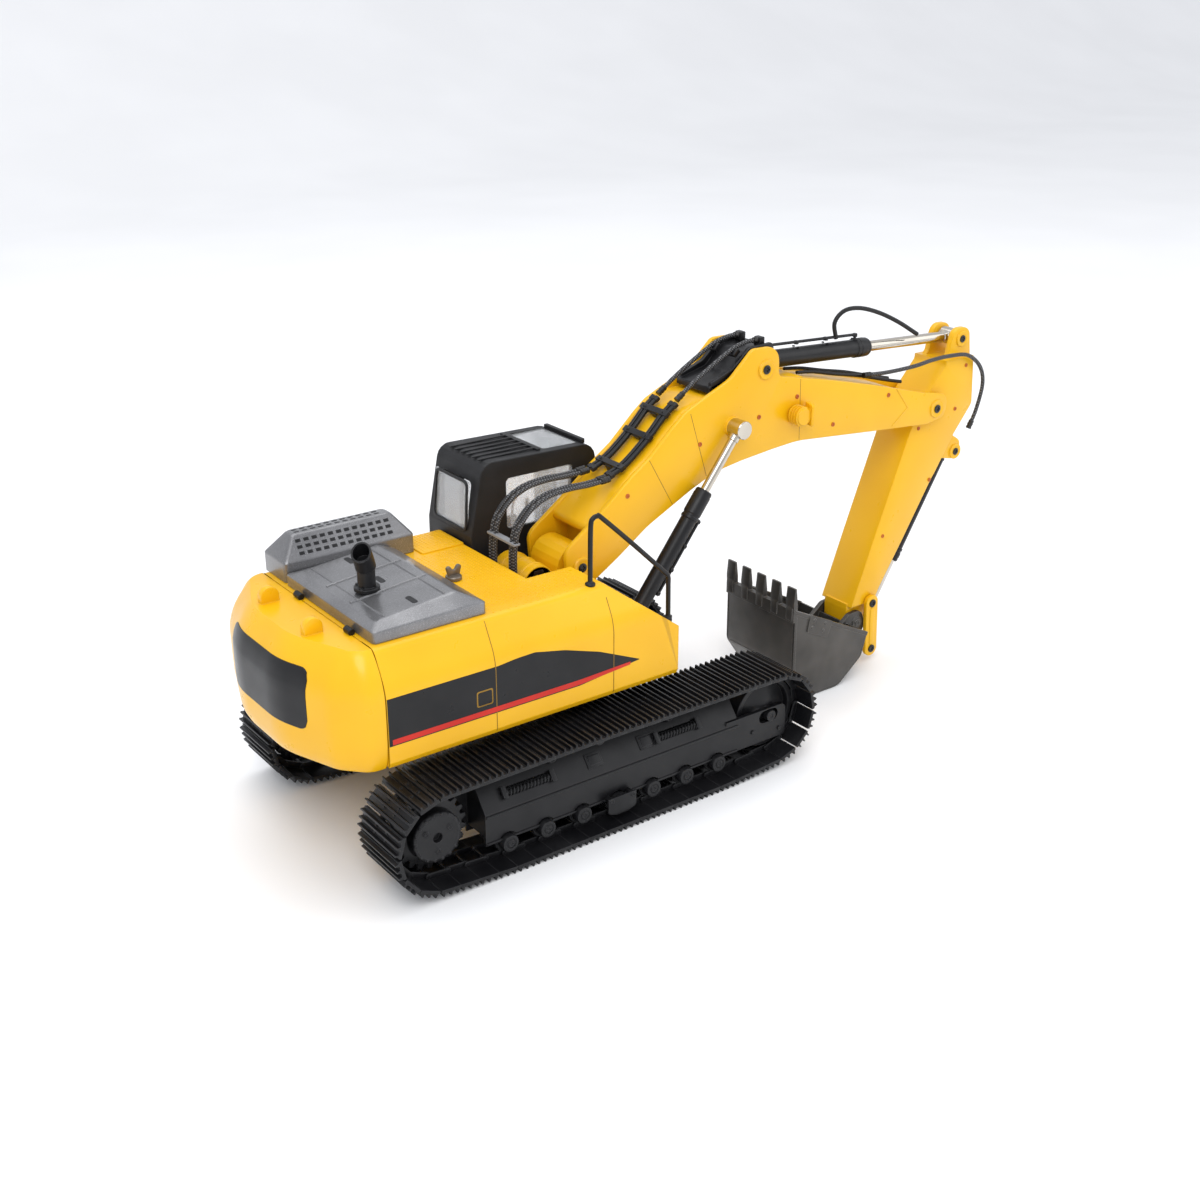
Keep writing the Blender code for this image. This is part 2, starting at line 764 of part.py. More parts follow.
def hood_top_height(x):
    """Height of the hood's sloping top face at x."""
    rear = hood_rear + hood_insets[0]
    front = hood_front - hood_insets[1]
    share = (x - rear) / (front - rear)
    return deck_top + gap + hood_rear_height + share * (hood_front_height - hood_rear_height)


def make_exhaust():
    """Stack with a flange and a slanted outlet, standing on the hood."""
    x, y = exhaust_base
    low = hood_top_height(x + exhaust_flange_radius) + gap
    flange = rod("exhaust_stack", (x, y, low), (x, y, low + 0.0020), exhaust_flange_radius, 24)
    pipe = rod("pipe", (x, y, low + 0.0010), (x, y, low + 0.0145), 0.0050, 20)
    tip = rod("tip", (x + 0.0002, y + 0.0002, low + 0.0125), (x - 0.0030, y - 0.0026, low + 0.0240), 0.0057, 22)
    scoop = rod("scoop", (x - 0.0018, y - 0.0015, low + 0.0145), (x - 0.0062, y - 0.0053, low + 0.0300), 0.0046, 18)
    return cut(joined(flange, pipe, tip), scoop)


latch_place = (-0.0600, -0.0093)


def make_latch():
    """Butterfly turn that holds the hood's front edge down."""
    x, y = latch_place
    low = deck_top + gap
    base = rod("hood_latch", (x, y, low), (x, y, low + 0.0022), 0.0048, 16)
    wing = plate(
        "wing",
        [rounded([(x - 0.0042, low + 0.0015, 0), (x + 0.0042, low + 0.0015, 0), (x + 0.0050, low + 0.0088, 0.0015),
                  (x, low + 0.0062, 0.001), (x - 0.0050, low + 0.0088, 0.0015)])],
        y - 0.0009,
        y + 0.0009,
    )
    return joined(base, wing)


cab_right = 0.0285
cab_left = 0.0790
cab_rear = -0.0246
cab_top = 0.1950
cab_front = 0.0680
cab_bulge = 0.0030  # how far the front face leans out at the waist
cab_waist = 0.1400
cab_low = well_floor + gap
cab_roof_fall = 0.0018  # roof height lost from rear to front
cab_wall = 0.0022
cab_notch = 0.0343  # cab's right side steps in to here beside the boom cylinder


def cab_outline(inset):
    """Cab side profile (x, z): rear face leaning forward, rounded roof, raked front."""
    return [
        (cab_rear + inset, cab_low + inset, 0), (cab_front - inset, cab_low + inset, 0),
        (cab_front + cab_bulge - inset, cab_waist, 0.010),
        (cab_front - inset, cab_top - cab_roof_fall - inset, 0.010),
        (-0.0150 + inset, cab_top - inset, 0.0090), (cab_rear + 0.0005 + inset, 0.1500, 0),
    ]


def make_cab():
    """Cab frame: a hollow body with window openings on every side and in the roof."""
    shell = plate("cab_frame", [rounded(cab_outline(0.0))], cab_right, cab_left)
    shell = bevelled(shell, 0.0035, 2, 60)
    passage = [(0.0330, 0.09), (0.0330, 0.1180), (0.0540, 0.1500), (0.0560, 0.1770), (0.09, 0.1770), (0.09, 0.09)]
    recess = [(a - cab_wall if a < 0.08 else a, b + cab_wall if b > 0.12 else b) for a, b in passage]
    solid_recess = plate("recess", [recess], cab_right - 0.01, cab_notch + cab_wall)
    hollow = plate("hollow", [rounded(cab_outline(cab_wall))], cab_right + cab_wall, cab_left - cab_wall)
    hollow = cut(hollow, solid_recess)
    shell = cut(shell, hollow, plate("passage", [passage], cab_right - 0.01, cab_notch))
    left_window = rounded([
        (0.0015, 0.1250, 0.004), (0.0560, 0.1250, 0.004), (0.0560, 0.1825, 0.006), (0.0015, 0.1825, 0.006),
    ])
    right_window = rounded([
        (0.0015, 0.1500, 0.003), (0.0480, 0.1500, 0.003), (0.0515, 0.1825, 0.003), (0.0015, 0.1825, 0.003),
    ])
    shell = cut(shell, plate("left_side", [left_window], cab_left - 0.01, cab_left + 0.01))
    shell = cut(shell, plate("right_side", [right_window], cab_right - 0.01, cab_right + 0.006))
    rear_window = rounded([
        (cab_right + 0.0070, 0.1530, 0.003), (cab_left - 0.0070, 0.1530, 0.003),
        (cab_left - 0.0085, 0.1820, 0.003), (cab_right + 0.0085, 0.1820, 0.003),
    ])
    shell = cut(shell, plate("rear", [rear_window], cab_rear - 0.01, 0.0, "X"))
    front_window = rounded([
        (cab_notch + 0.0050, 0.1240, 0.003), (cab_left - 0.0050, 0.1240, 0.003),
        (cab_left - 0.0050, 0.1785, 0.003), (cab_notch + 0.0050, 0.1785, 0.003),
    ])
    shell = cut(shell, plate("front", [front_window], 0.0560, cab_front + 0.02, "X"))
    skylight = rounded([
        (0.0330, cab_right + 0.0060, 0.002), (0.0585, cab_right + 0.0060, 0.002),
        (0.0585, cab_left - 0.0060, 0.002), (0.0330, cab_left - 0.0060, 0.002),
    ])
    return cut(shell, plate("skylight", [skylight], cab_top - 0.01, cab_top + 0.01, "Z"))


def front_face_x(height):
    """x of the cab's front face at a height."""
    if height < cab_waist:
        return cab_front + cab_bulge * (height - cab_low) / (cab_waist - cab_low)
    roof = cab_top - cab_roof_fall
    return cab_front + cab_bulge * (roof - height) / (roof - cab_waist)


def make_windscreen():
    """Clear front pane, just inside the cab's front opening."""
    low, high, thickness = 0.1225, 0.1800, 0.0010
    inset = cab_wall + gap * 2
    pane = [
        (front_face_x(low) - inset, low), (cab_front + cab_bulge - inset - 0.0004, cab_waist),
        (front_face_x(high) - inset, high),
        (front_face_x(high) - inset - thickness, high),
        (cab_front + cab_bulge - inset - thickness - 0.0004, cab_waist),
        (front_face_x(low) - inset - thickness, low),
    ]
    return plate("windscreen", [pane], cab_notch + cab_wall + gap, cab_left - cab_wall - gap)


def make_seat():
    """Operator's seat on a pedestal, backrest raked."""
    middle = (cab_right + cab_left) / 2
    side = [
        (0.0080, well_floor + 0.0030, 0), (0.0260, well_floor + 0.0030, 0), (0.0260, 0.1280, 0), (0.0400, 0.1290, 0.003),
        (0.0400, 0.1360, 0.003), (0.0140, 0.1360, 0), (0.0080, 0.1700, 0.003), (0.0020, 0.1700, 0.003), (0.0060, 0.1300, 0),
    ]
    return plate("cab_seat", [rounded(side)], middle - 0.0110, middle + 0.0110)


def make_handrail():
    y = -0.0625
    points = [
        (-0.0020, y, deck_top - 0.0006 + 0.0015), (-0.0015, y, 0.1800), (0.0000, y, 0.1842), (0.0035, y, 0.1850),
        (0.0065, y, 0.1830), (0.0520, y, 0.1395), (0.0550, y, 0.1355), (0.0552, y, 0.1300), (0.0555, y, 0.1075),
    ]
    return tube("handrail", points, rail_diameter, 2)


def make_battery():
    pack = block("battery_pack", (-0.1280, -0.0480, 0.0925), (-0.0840, 0.0260, 0.1180))
    return bevelled(pack, 0.0020, 2)


def make_board():
    return block("control_board", (-0.0780, -0.0500, 0.0925), (-0.0380, 0.0100, 0.0945))


def make_slew_motor():
    x, y = -0.0560, 0.0360
    box = block("slew_motor", (x - 0.0150, y - 0.0150, 0.0920), (x + 0.0150, y + 0.0150, 0.1000))
    return joined(box, rod("can", (x, y, 0.0990), (x, y, 0.1180), 0.0120, 24))


# ---------------------------------------------------------------- boom
def make_boom():
    """Cranked boom with a forked foot, cylinder ears on its back and a forked tip."""
    outline = rounded([
        (boom_foot[0] - 0.0100, 0.1240, 0.0110), (0.0300, 0.1240, 0.008), (0.0500, 0.1362, 0), (0.0720, 0.1511, 0),
        (0.1055, 0.1673, 0), (0.1256, 0.1755, 0), (0.1467, 0.1787, 0), (0.1734, 0.1814, 0), (0.1949, 0.1829, 0),
        (0.2678, 0.1764, 0), (0.3180, 0.1722, 0.006), (stick_pin[0] + 0.0100, stick_pin[1] - 0.0070, 0.008),
        (stick_pin[0] + 0.0105, stick_pin[1] + 0.0090, 0.008), (0.3120, 0.1955, 0.008), (0.2638, 0.2087, 0),
        (0.2232, 0.2186, 0), (0.1760, 0.2288, 0.004), (0.1750, 0.2486, 0.0105), (0.1535, 0.2492, 0.0070),
        (0.1360, 0.2331, 0.02), (0.1112, 0.2226, 0), (0.1010, 0.2180, 0), (0.0920, 0.2110, 0), (0.0735, 0.1942, 0),
        (0.0592, 0.1845, 0), (0.0360, 0.1665, 0), (0.0100, 0.1480, 0.010),
    ], 3)
    boom = plate("boom", [outline], -boom_half_width, boom_half_width)
    boom = bevelled(boom, 0.0012, 1, 60)
    tongue_half = 0.0140 + side_gap
    boom = cut(boom, block("foot_slot", (-0.02, -tongue_half, 0.10), (0.0390, tongue_half, 0.1525)))
    round_near = on_plane((0.0260, 0.1400), -tongue_half)
    round_far = on_plane((0.0260, 0.1400), tongue_half)
    boom = cut(boom, rod("foot_round", round_near, round_far, 0.0175, 24))
    ears = plate("ear_slot", [[(0.1130, ear_slot_floor), (0.1990, ear_slot_floor), (0.1990, 0.26), (0.1130, 0.26)]],
                 -ear_slot_half, ear_slot_half)
    boom = cut(boom, ears)
    tip_half = stick_half_width + side_gap
    boom = cut(boom, block("tip_slot", (0.2920, -tip_half, 0.15), (0.36, tip_half, 0.22)))
    for side in (-1, 1):
        boss_end = boom_cylinder_y - boom_eye_half - 0.0005
        boss = rod("boss", on_plane(boom_eye, side * (boom_half_width - bite)), on_plane(boom_eye, side * boss_end), 0.0062, 20)
        boom = joined(boom, boss)
    bores = [make_pin("bore", pin, 0.03, bore_radius, 20) for pin in (boom_foot, stick_pin)]
    return cut(boom, *bores)


def make_pin(name, pin, half, radius=pin_radius, sides=16):
    return rod(name, on_plane(pin, -half), on_plane(pin, half), radius, sides)


pipe_route = [(0.0500, 0.1845), (0.0620, 0.1895), (0.0740, 0.1982), (0.0830, 0.2060), (0.0920, 0.2148), (0.1010, 0.2215)]
pipe_sides = (-0.0108, -0.0072, 0.0072, 0.0108)


def make_boom_pipes():
    """Four hard pipes on the boom's back, held by two clamp bars."""
    runs = []
    for y in pipe_sides:
        points = [(x, y, z) for x, z in pipe_route]
        runs.append(tube("boom_pipes", smooth_route(points, 11), pipe_diameter, 1))
    clamps = [
        block("clamp", (0.0540, -0.0130, 0.1845), (0.0580, 0.0130, 0.1895)),
        block("clamp", (0.0880, -0.0130, 0.2118), (0.0920, 0.0130, 0.2152)),
    ]
    return joined(runs[0], *runs[1:], *clamps)


def make_lamp():
    """Ribbed work lamp on a stub at the boom's right side."""
    x, z = 0.1900, 0.2020
    y = -boom_half_width - gap
    stub = rod("boom_lamp", (x, y, z), (x, y - 0.0100, z), 0.0058, 20)
    ribs = [rod("rib", (x, y - 0.002 - 0.0026 * k, z), (x, y - 0.0032 - 0.0026 * k, z), 0.0066, 20) for k in range(3)]
    face = block("face", (x + 0.0020, y - 0.0125, z - 0.0066), (x + 0.0100, y - 0.0010 - 0.001, z + 0.0066))
    return joined(stub, *ribs, face)


def make_hose_bracket():
    """Black cradle that carries the hoses over the boom's ears."""
    low = ear_slot_floor + gap
    side = rounded([
        (0.1225, low, 0), (0.1440, low, 0), (0.1560, 0.2425, 0.003), (0.1750, 0.2450, 0), (0.1750, 0.2475, 0.001),
        (0.1560, 0.2460, 0.004), (0.1430, 0.2340, 0.006), (0.1225, 0.2290, 0.001),
    ])
    half = ear_slot_half - gap * 2
    return plate("hose_bracket", [side], -half, half)


# ---------------------------------------------------------------- hydraulic cylinders
def make_barrel(name, foot, eye, y, radius, length, foot_radius, foot_half, bore, collar):
    """Barrel from its foot eye towards the rod, open at the rod end for the rod."""
    start = Vector(on_plane(foot, y))
    along = (Vector(on_plane(eye, y)) - start).normalized()
    eye_part = rod(name, on_plane(foot, y - foot_half), on_plane(foot, y + foot_half), foot_radius, 20)
    body_part = rod("tube", start + along * (foot_radius * 0.55), start + along * length, radius, 20)
    head = rod("head", start + along * (length - collar), start + along * (length + 0.0015), radius + 0.0005, 20)
    barrel = joined(eye_part, body_part, head)
    hole = rod("bore", start + along * (foot_radius + 0.0050), start + along * (length + 0.01), bore, 20)
    return cut(barrel, hole), start, along


def make_rod(name, foot, eye, y, radius, inside, eye_radius, eye_half):
    """Rod from inside the barrel to the eye at its end."""
    end = Vector(on_plane(eye, y))
    along = (end - Vector(on_plane(foot, y))).normalized()
    start = Vector(on_plane(foot, y)) + along * inside
    shaft = rod(name, start, end, radius, 16)
    ring = rod("ring", on_plane(eye, y - eye_half), on_plane(eye, y + eye_half), eye_radius, 20)
    return joined(shaft, ring)


def with_feed_pipe(barrel, start, along, radius, first, last, up):
    """A thin hard pipe clamped along a barrel, on the side that up points to."""
    lift = (Vector(up) - along * Vector(up).dot(along)).normalized()
    off = radius + 0.0030
    pipe = rod("feed", start + along * first + lift * off, start + along * last + lift * off, 0.0010, 8)
    parts = [pipe]
    for share in (0.04, 0.36, 0.68, 0.96):
        place = start + along * (first + (last - first) * share)
        parts.append(rod("clip", place + lift * (radius - 0.001), place + lift * (off + 0.0014), 0.0014, 8))
    return joined(barrel, *parts)


# ---------------------------------------------------------------- stick
def make_stick():
    """Box-section stick: rod ears on top, cylinder lugs in front, narrow bored tip."""
    outline = rounded([
        (0.3490, 0.2330, 0.0075), (0.3645, 0.2325, 0.0070), (0.3675, 0.2130, 0.003), (0.3702, 0.1771, 0.006),
        (0.3530, 0.1560, 0.003), (0.3665, 0.1490, 0.0055), (0.3640, 0.1355, 0.0055), (0.3440, 0.1400, 0.002),
        (0.3340, 0.1269, 0), (0.3093, 0.0867, 0), (0.2885, 0.0540, 0.006), (0.2810, 0.0375, 0.006),
        (0.2735, 0.0258, 0.0065), (0.2612, 0.0258, 0.0065), (0.2606, 0.0430, 0.004), (0.2795, 0.0935, 0),
        (0.3060, 0.1620, 0.004), (0.3155, 0.1830, 0.010), (0.3390, 0.2090, 0.004), (0.3450, 0.2150, 0.002),
    ], 3)
    stick = plate("stick", [outline], -stick_half_width, stick_half_width)
    stick = bevelled(stick, 0.0010, 1, 60)
    rod_half = 0.0070
    stick = cut(stick, block("rod_slot", (0.3200, -rod_half, 0.2125), (0.3800, rod_half, 0.2400)))
    lug_half = 0.0070
    lug_slot = [(0.3540, 0.1620), (0.3850, 0.1620), (0.3850, 0.1200), (0.3370, 0.1200), (0.3370, 0.1310), (0.3520, 0.1530)]
    stick = cut(stick, plate("lug_slot", [lug_slot], -lug_half, lug_half))
    for side in (-1, 1):
        near, far = sorted((side * 0.0114, side * 0.03))
        stick = cut(stick, block("ear_relief", (0.3100, near, 0.2130), (0.3900, far, 0.2450)))
        near, far = sorted((side * 0.0110, side * 0.03))
        outside = [(0.3545, 0.1590), (0.3850, 0.1590), (0.3850, 0.1200), (0.3370, 0.1200), (0.3370, 0.1305)]
        stick = cut(stick, plate("lug_relief", [outside], near, far))
    tip_half = 0.0110
    for side in (-1, 1):
        near, far = sorted((side * tip_half, side * 0.03))
        stick = cut(stick, block("tip_relief", (0.2480, near, 0.0100), (0.2960, far, 0.0450)))
    return cut(
        stick,
        make_pin("bore", rocker_pin, 0.03, rocker_bore_radius, 20),
        make_pin("bore", stick_pin, 0.03, bore_radius, 20),
    )


# ---------------------------------------------------------------- bucket and linkage
def make_bucket():
    """Open bucket: wrapped plate between two cheeks, five tall teeth, hinge ears behind."""
    outline = rounded([
        (0.1880, 0.0690, 0), (0.1885, 0.0240, 0.010), (0.2050, 0.0004, 0.014), (0.2330, 0.0004, 0.012),
        (0.2543, 0.0173, 0.008), (0.2590, 0.0344, 0),
    ], 4)
    t = bucket_wall
    hollow = rounded([
        (0.1880 + t, 0.0850, 0), (0.1885 + t, 0.0240, 0.009), (0.2050 + 0.4 * t, 0.0004 + t, 0.013),
        (0.2330 - 0.4 * t, 0.0004 + t, 0.011), (0.2543 - t, 0.0173 + 0.4 * t, 0.007), (0.2569, 0.0420, 0), (0.2569, 0.0850, 0),
    ], 4)
    half = bucket_half_width
    bucket = plate("bucket", [outline], -half, half)
    bucket = cut(bucket, plate("bucket_inside", [hollow], -half + t, half - t))
    teeth = []
    pitch = (2 * half - tooth_width) / (tooth_count - 1)
    for k in range(tooth_count):
        y = -half + tooth_width / 2 + pitch * k
        near = y - tooth_width / 2
        far = y + tooth_width / 2
        shank_far = far + 0.0030 if k < tooth_count - 1 else far - 0.0004
        teeth.append(block("tooth", (0.1868, near + 0.0001, tooth_root + 0.003), (0.1898, far - 0.0001, tooth_top)))
        teeth.append(block("shank", (0.1862, near + 0.0004, tooth_root), (0.1892, shank_far, tooth_root + 0.016)))
    bucket = joined(bucket, *teeth)
    for side in (-1, 1):
        near, far = sorted((side * (half - bite), side * (half + 0.0012)))
        cutter = plate("side_cutter", [[(0.1990, 0.0508), (0.2183, 0.0418), (0.2228, 0.0530), (0.2014, 0.0632)]], near, far)
        near, far = sorted((side * 0.0118, side * 0.0153))
        ear = plate(
            "ear",
            [rounded([(0.2480, 0.0180, 0), (0.2560, 0.0025, 0.004), (0.2690, 0.0030, 0.006), (0.2700, 0.0160, 0.004),
                      (0.2760, 0.0300, 0.006), (0.2720, 0.0420, 0.007), (0.2600, 0.0410, 0.006), (0.2500, 0.0330, 0)])],
            near,
            far,
        )
        bucket = joined(bucket, cutter, ear)
    return bucket


def link_outline(first, second, radius, steps=10):
    """An outline with round ends about two pins."""
    angle = atan2(second[1] - first[1], second[0] - first[0])
    points = []
    for centre, base in ((first, angle + pi / 2), (second, angle - pi / 2)):
        for k in range(steps + 1):
            turn = base + pi * k / steps
            points.append((centre[0] + radius * cos(turn), centre[1] + radius * sin(turn)))
    return points


def make_rocker():
    """Two rocker plates outside the stick, joined by the pin through it."""
    low = stick_half_width + side_gap
    plates = []
    for side in (-1, 1):
        near, far = sorted((side * low, side * (low + 0.0032)))
        plates.append(plate("rocker_plate", [link_outline(rocker_pin, rod_end_pin, 0.0058)], near, far))
    pin = make_pin("rocker_link", rocker_pin, low + 0.0010, 0.0026, 16)
    return joined(pin, *plates)


def make_bucket_link():
    """Short forked link from the rod end to the bucket's rear ears."""
    half = 0.0105
    link = plate("bucket_link", [link_outline(rod_end_pin, bucket_link_pin, 0.0046)], -half, half)
    slot = block("slot", (rod_end_pin[0] - 0.0075, -0.0058, -0.01), (rod_end_pin[0] + 0.02, 0.0058, 0.03))
    return cut(link, slot)


# ---------------------------------------------------------------- hoses
deck_hose_route = [
    (-0.0195, 0.1020), (-0.0200, 0.1250), (-0.0203, 0.1450), (-0.0196, 0.1560), (-0.0170, 0.1660), (-0.0095, 0.1755),
    (0.0030, 0.1818), (0.0180, 0.1836), (0.0340, 0.1832), (0.0480, 0.1841),
]
deck_hose_sides = (-0.0128, -0.0086, 0.0086, 0.0128)
knee_hose_route = [
    (0.1028, 0.2232), (0.1160, 0.2320), (0.1310, 0.2405), (0.1470, 0.2485), (0.1590, 0.2512), (0.1690, 0.2508)]
stick_hose_route = [
    (0.2640, -0.0095, 0.2130), (0.2850, -0.0120, 0.2125), (0.3040, -0.0180, 0.2150), (0.3210, -0.0190, 0.2170),
    (0.3410, -0.0190, 0.2170), (0.3570, -0.0190, 0.2145), (0.3720, -0.0175, 0.2040), (0.3785, -0.0160, 0.1900),
    (0.3765, -0.0140, 0.1710), (0.3720, -0.0125, 0.1580),
]


def make_deck_hoses():
    """Four hoses that rise from the well and bend over to the boom's pipes, with one tie."""
    runs = []
    for y in deck_hose_sides:
        points = [(x, y, z) for x, z in deck_hose_route]
        runs.append(tube("deck_hoses", smooth_route(points, 16), hose_diameter, 1))
    tie = block("tie", (-0.0224, -0.0148, 0.1570), (-0.0172, 0.0148, 0.1588))
    return joined(runs[0], *runs[1:], tie)


def make_knee_hoses():
    runs = []
    for y in (-0.0090, 0.0090):
        points = [(x, y * (1.0 - max(x - 0.14, 0.0) * 8.0), z) for x, z in knee_hose_route]
        runs.append(tube("knee_hoses", smooth_route(points, 14), hose_diameter, 1))
    end = block("end_block", (0.1650, -0.0092, 0.2490), (0.1740, 0.0092, 0.2528))
    return joined(runs[0], *runs[1:], end)


# ---------------------------------------------------------------- assembly
def build_undercarriage():
    body("undercarriage", (0.0, 0.0, 0.0))
    mount_on(make_car_body(), "undercarriage", black)
    mount_on(make_slew_ring(), "undercarriage", inner_grey)
    for side, word in ((-1, "right"), (1, "left")):
        mount_on(make_frame("track_frame_" + word, side), "undercarriage", black)
        mount_on(make_belt("track_belt_" + word, side), "undercarriage", track_black)
        spinning = [
            ("sprocket_" + word, (sprocket_x, end_height), make_sprocket),
            ("idler_" + word, (idler_x, end_height), make_idler),
            ("carrier_roller_" + word, (carrier_x, belt_top - 0.0117), make_carrier),
        ]
        for name, axis, maker in spinning:
            body(name, on_plane(axis), "undercarriage")
            mount_on(maker(name, side), name, black)
        for i in range(wheel_count):
            name = f"road_wheel_{word}_{i + 1}"
            body(name, on_plane((wheel_x(i), wheel_axis_height())), "undercarriage")
            mount_on(make_wheel(name, side, wheel_x(i)), name, black)


def build_house():
    body("house", (0.0, 0.0, house_bottom), "undercarriage")
    mount_on(make_house(), "house", yellow)
    mount_on(make_counterweight(), "house", yellow)
    mount_on(make_louvre_box(), "house", silver)
    mount_on(make_cab(), "house", black)
    mount_on(make_windscreen(), "house", clear)
    mount_on(make_seat(), "house", inner_grey)
    mount_on(make_handrail(), "house", black)
    mount_on(make_battery(), "house", inner_grey)
    mount_on(make_board(), "house", board_green)
    mount_on(make_slew_motor(), "house", inner_grey)
    mount_on(make_deck_hoses(), "house", rubber)
    body("hood", (hood_rear, 0.0, deck_top + gap), "house")
    mount_on(make_hood(), "hood", silver)
    mount_on(make_exhaust(), "hood", black)
    body("latch", (*latch_place, deck_top), "house")
    mount_on(make_latch(), "latch", pin_steel)


def build_boom():
    mount_on(make_pin("boom_foot_pin", boom_foot, boom_half_width - 0.0010), "house", pin_steel)
    body("boom", on_plane(boom_foot), "house")
    mount_on(make_boom(), "boom", yellow)
    mount_on(make_boom_pipes(), "boom", black)
    mount_on(make_lamp(), "boom", yellow)
    mount_on(make_hose_bracket(), "boom", black)
    mount_on(make_knee_hoses(), "boom", rubber)
    for side, word in ((-1, "right"), (1, "left")):
        y = side * boom_cylinder_y
        length = hypot(boom_eye[0] - boom_cylinder_foot[0], boom_eye[1] - boom_cylinder_foot[1])
        body("boom_rod_" + word, on_plane(boom_eye), "boom")
        piston = make_rod(
            "boom_cylinder_rod_" + word, boom_cylinder_foot, boom_eye, y, 0.0029, length - 0.0850, 0.0058, boom_eye_half)
        mount_on(piston, "boom_rod_" + word, chrome)
        body("boom_barrel_" + word, on_plane(boom_cylinder_foot), "boom_rod_" + word)
        barrel, start, along = make_barrel(
            "boom_cylinder_barrel_" + word, boom_cylinder_foot, boom_eye, y, 0.0054, 0.0930, 0.0060, 0.0058, 0.0034, 0.0200)
        barrel = with_feed_pipe(barrel, start, along, 0.0054, 0.0250, 0.0760, (1.0, 0.0, -0.5))
        mount_on(barrel, "boom_barrel_" + word, black)


def build_stick():
    body("stick", on_plane(stick_pin), "boom")
    mount_on(make_stick(), "stick", yellow)
    mount_on(make_pin("stick_pin", stick_pin, boom_half_width - 0.0006), "stick", pin_steel)
    body("arm_barrel", on_plane(arm_foot_pin), "boom")
    barrel, start, along = make_barrel(
        "arm_cylinder_barrel", arm_foot_pin, arm_eye_pin, 0.0, 0.0062, 0.1080, 0.0062, 0.0075, 0.0042, 0.0120)
    barrel = with_feed_pipe(barrel, start, along, 0.0062, 0.0180, 0.0980, (0.0, 0.0, 1.0))
    mount_on(barrel, "arm_barrel", black)
    body("arm_rod", on_plane(arm_eye_pin), "arm_barrel")
    piston = make_rod("arm_cylinder_rod", arm_foot_pin, arm_eye_pin, 0.0, 0.0036, arm_rod_start, 0.0058, 0.0062)
    mount_on(piston, "arm_rod", chrome)


def build_bucket():
    body("bucket_barrel", on_plane(bucket_cylinder_pin), "stick")
    barrel, start, along = make_barrel(
        "bucket_cylinder_barrel", bucket_cylinder_pin, rod_end_pin, 0.0, 0.0048, 0.0880, 0.0052, 0.0062, 0.0034, 0.0100)
    mount_on(barrel, "bucket_barrel", black)
    body("bucket_rod", on_plane(rod_end_pin), "bucket_barrel")
    piston = make_rod(
        "bucket_cylinder_rod", bucket_cylinder_pin, rod_end_pin, 0.0, 0.0031, bucket_rod_start, 0.0046, 0.0050)
    mount_on(piston, "bucket_rod", chrome)
    body("rocker", on_plane(rocker_pin), "stick")
    mount_on(make_rocker(), "rocker", yellow)
    body("bucket_link", on_plane(rod_end_pin), "rocker")
    mount_on(make_bucket_link(), "bucket_link", yellow)
    body("bucket", on_plane(bucket_pin), "stick")
    mount_on(make_bucket(), "bucket", gunmetal)
    mount_on(tube("stick_hose", smooth_route(stick_hose_route, 36), hose_diameter, 1), "stick", rubber)


clear_scene()
build_undercarriage()
build_house()
build_boom()
build_stick()
build_bucket()
print("nodes", sum(obj.type == "MESH" for obj in machine.objects))
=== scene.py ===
import json
from math import radians

import bmesh
import bpy
import numpy as np
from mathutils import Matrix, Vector
from mathutils.geometry import convex_hull_2d


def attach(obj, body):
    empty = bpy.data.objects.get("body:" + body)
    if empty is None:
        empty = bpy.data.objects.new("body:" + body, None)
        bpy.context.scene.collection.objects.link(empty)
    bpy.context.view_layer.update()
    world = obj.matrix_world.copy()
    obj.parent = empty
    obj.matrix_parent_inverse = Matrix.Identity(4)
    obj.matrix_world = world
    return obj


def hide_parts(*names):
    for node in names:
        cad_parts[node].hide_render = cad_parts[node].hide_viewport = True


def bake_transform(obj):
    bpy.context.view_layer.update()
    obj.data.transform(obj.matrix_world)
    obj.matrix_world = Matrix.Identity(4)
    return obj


# Lengths below are millimetres from the slew axis on the ground, +X to the bucket, +Y to the cab.
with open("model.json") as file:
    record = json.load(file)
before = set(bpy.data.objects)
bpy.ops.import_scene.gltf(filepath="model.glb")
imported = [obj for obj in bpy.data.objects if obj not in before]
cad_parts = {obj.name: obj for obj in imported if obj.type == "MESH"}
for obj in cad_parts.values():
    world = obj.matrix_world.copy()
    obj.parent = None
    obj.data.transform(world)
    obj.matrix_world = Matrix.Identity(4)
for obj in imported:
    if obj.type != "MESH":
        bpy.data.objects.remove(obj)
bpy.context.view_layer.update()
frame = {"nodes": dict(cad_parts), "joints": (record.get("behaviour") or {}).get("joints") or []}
joints = {joint["name"]: joint for joint in frame["joints"]}
slewX = joints["slew"]["pos_m"][0] * 1000
yAxis = (0.0, 1.0, 0.0)
print("frame loaded")


def unit(vector):
    vector = np.asarray(vector, float)
    return vector / np.linalg.norm(vector, axis=-1, keepdims=True)


# ---- camera, floor and light
def addCamera():
    data = bpy.data.cameras.new("camera")
    data.lens = 46.26
    data.sensor_width = 36.0
    data.clip_start = 0.01
    camera = bpy.data.objects.new("camera", data)
    bpy.context.scene.collection.objects.link(camera)
    camera.location = (-0.47765 + slewX / 1000, -0.71627, 0.48223)
    camera.rotation_euler = Vector((0.545755, 0.739328, -0.394393)).to_track_quat("-Z", "Y").to_euler()
    bpy.context.scene.camera = camera


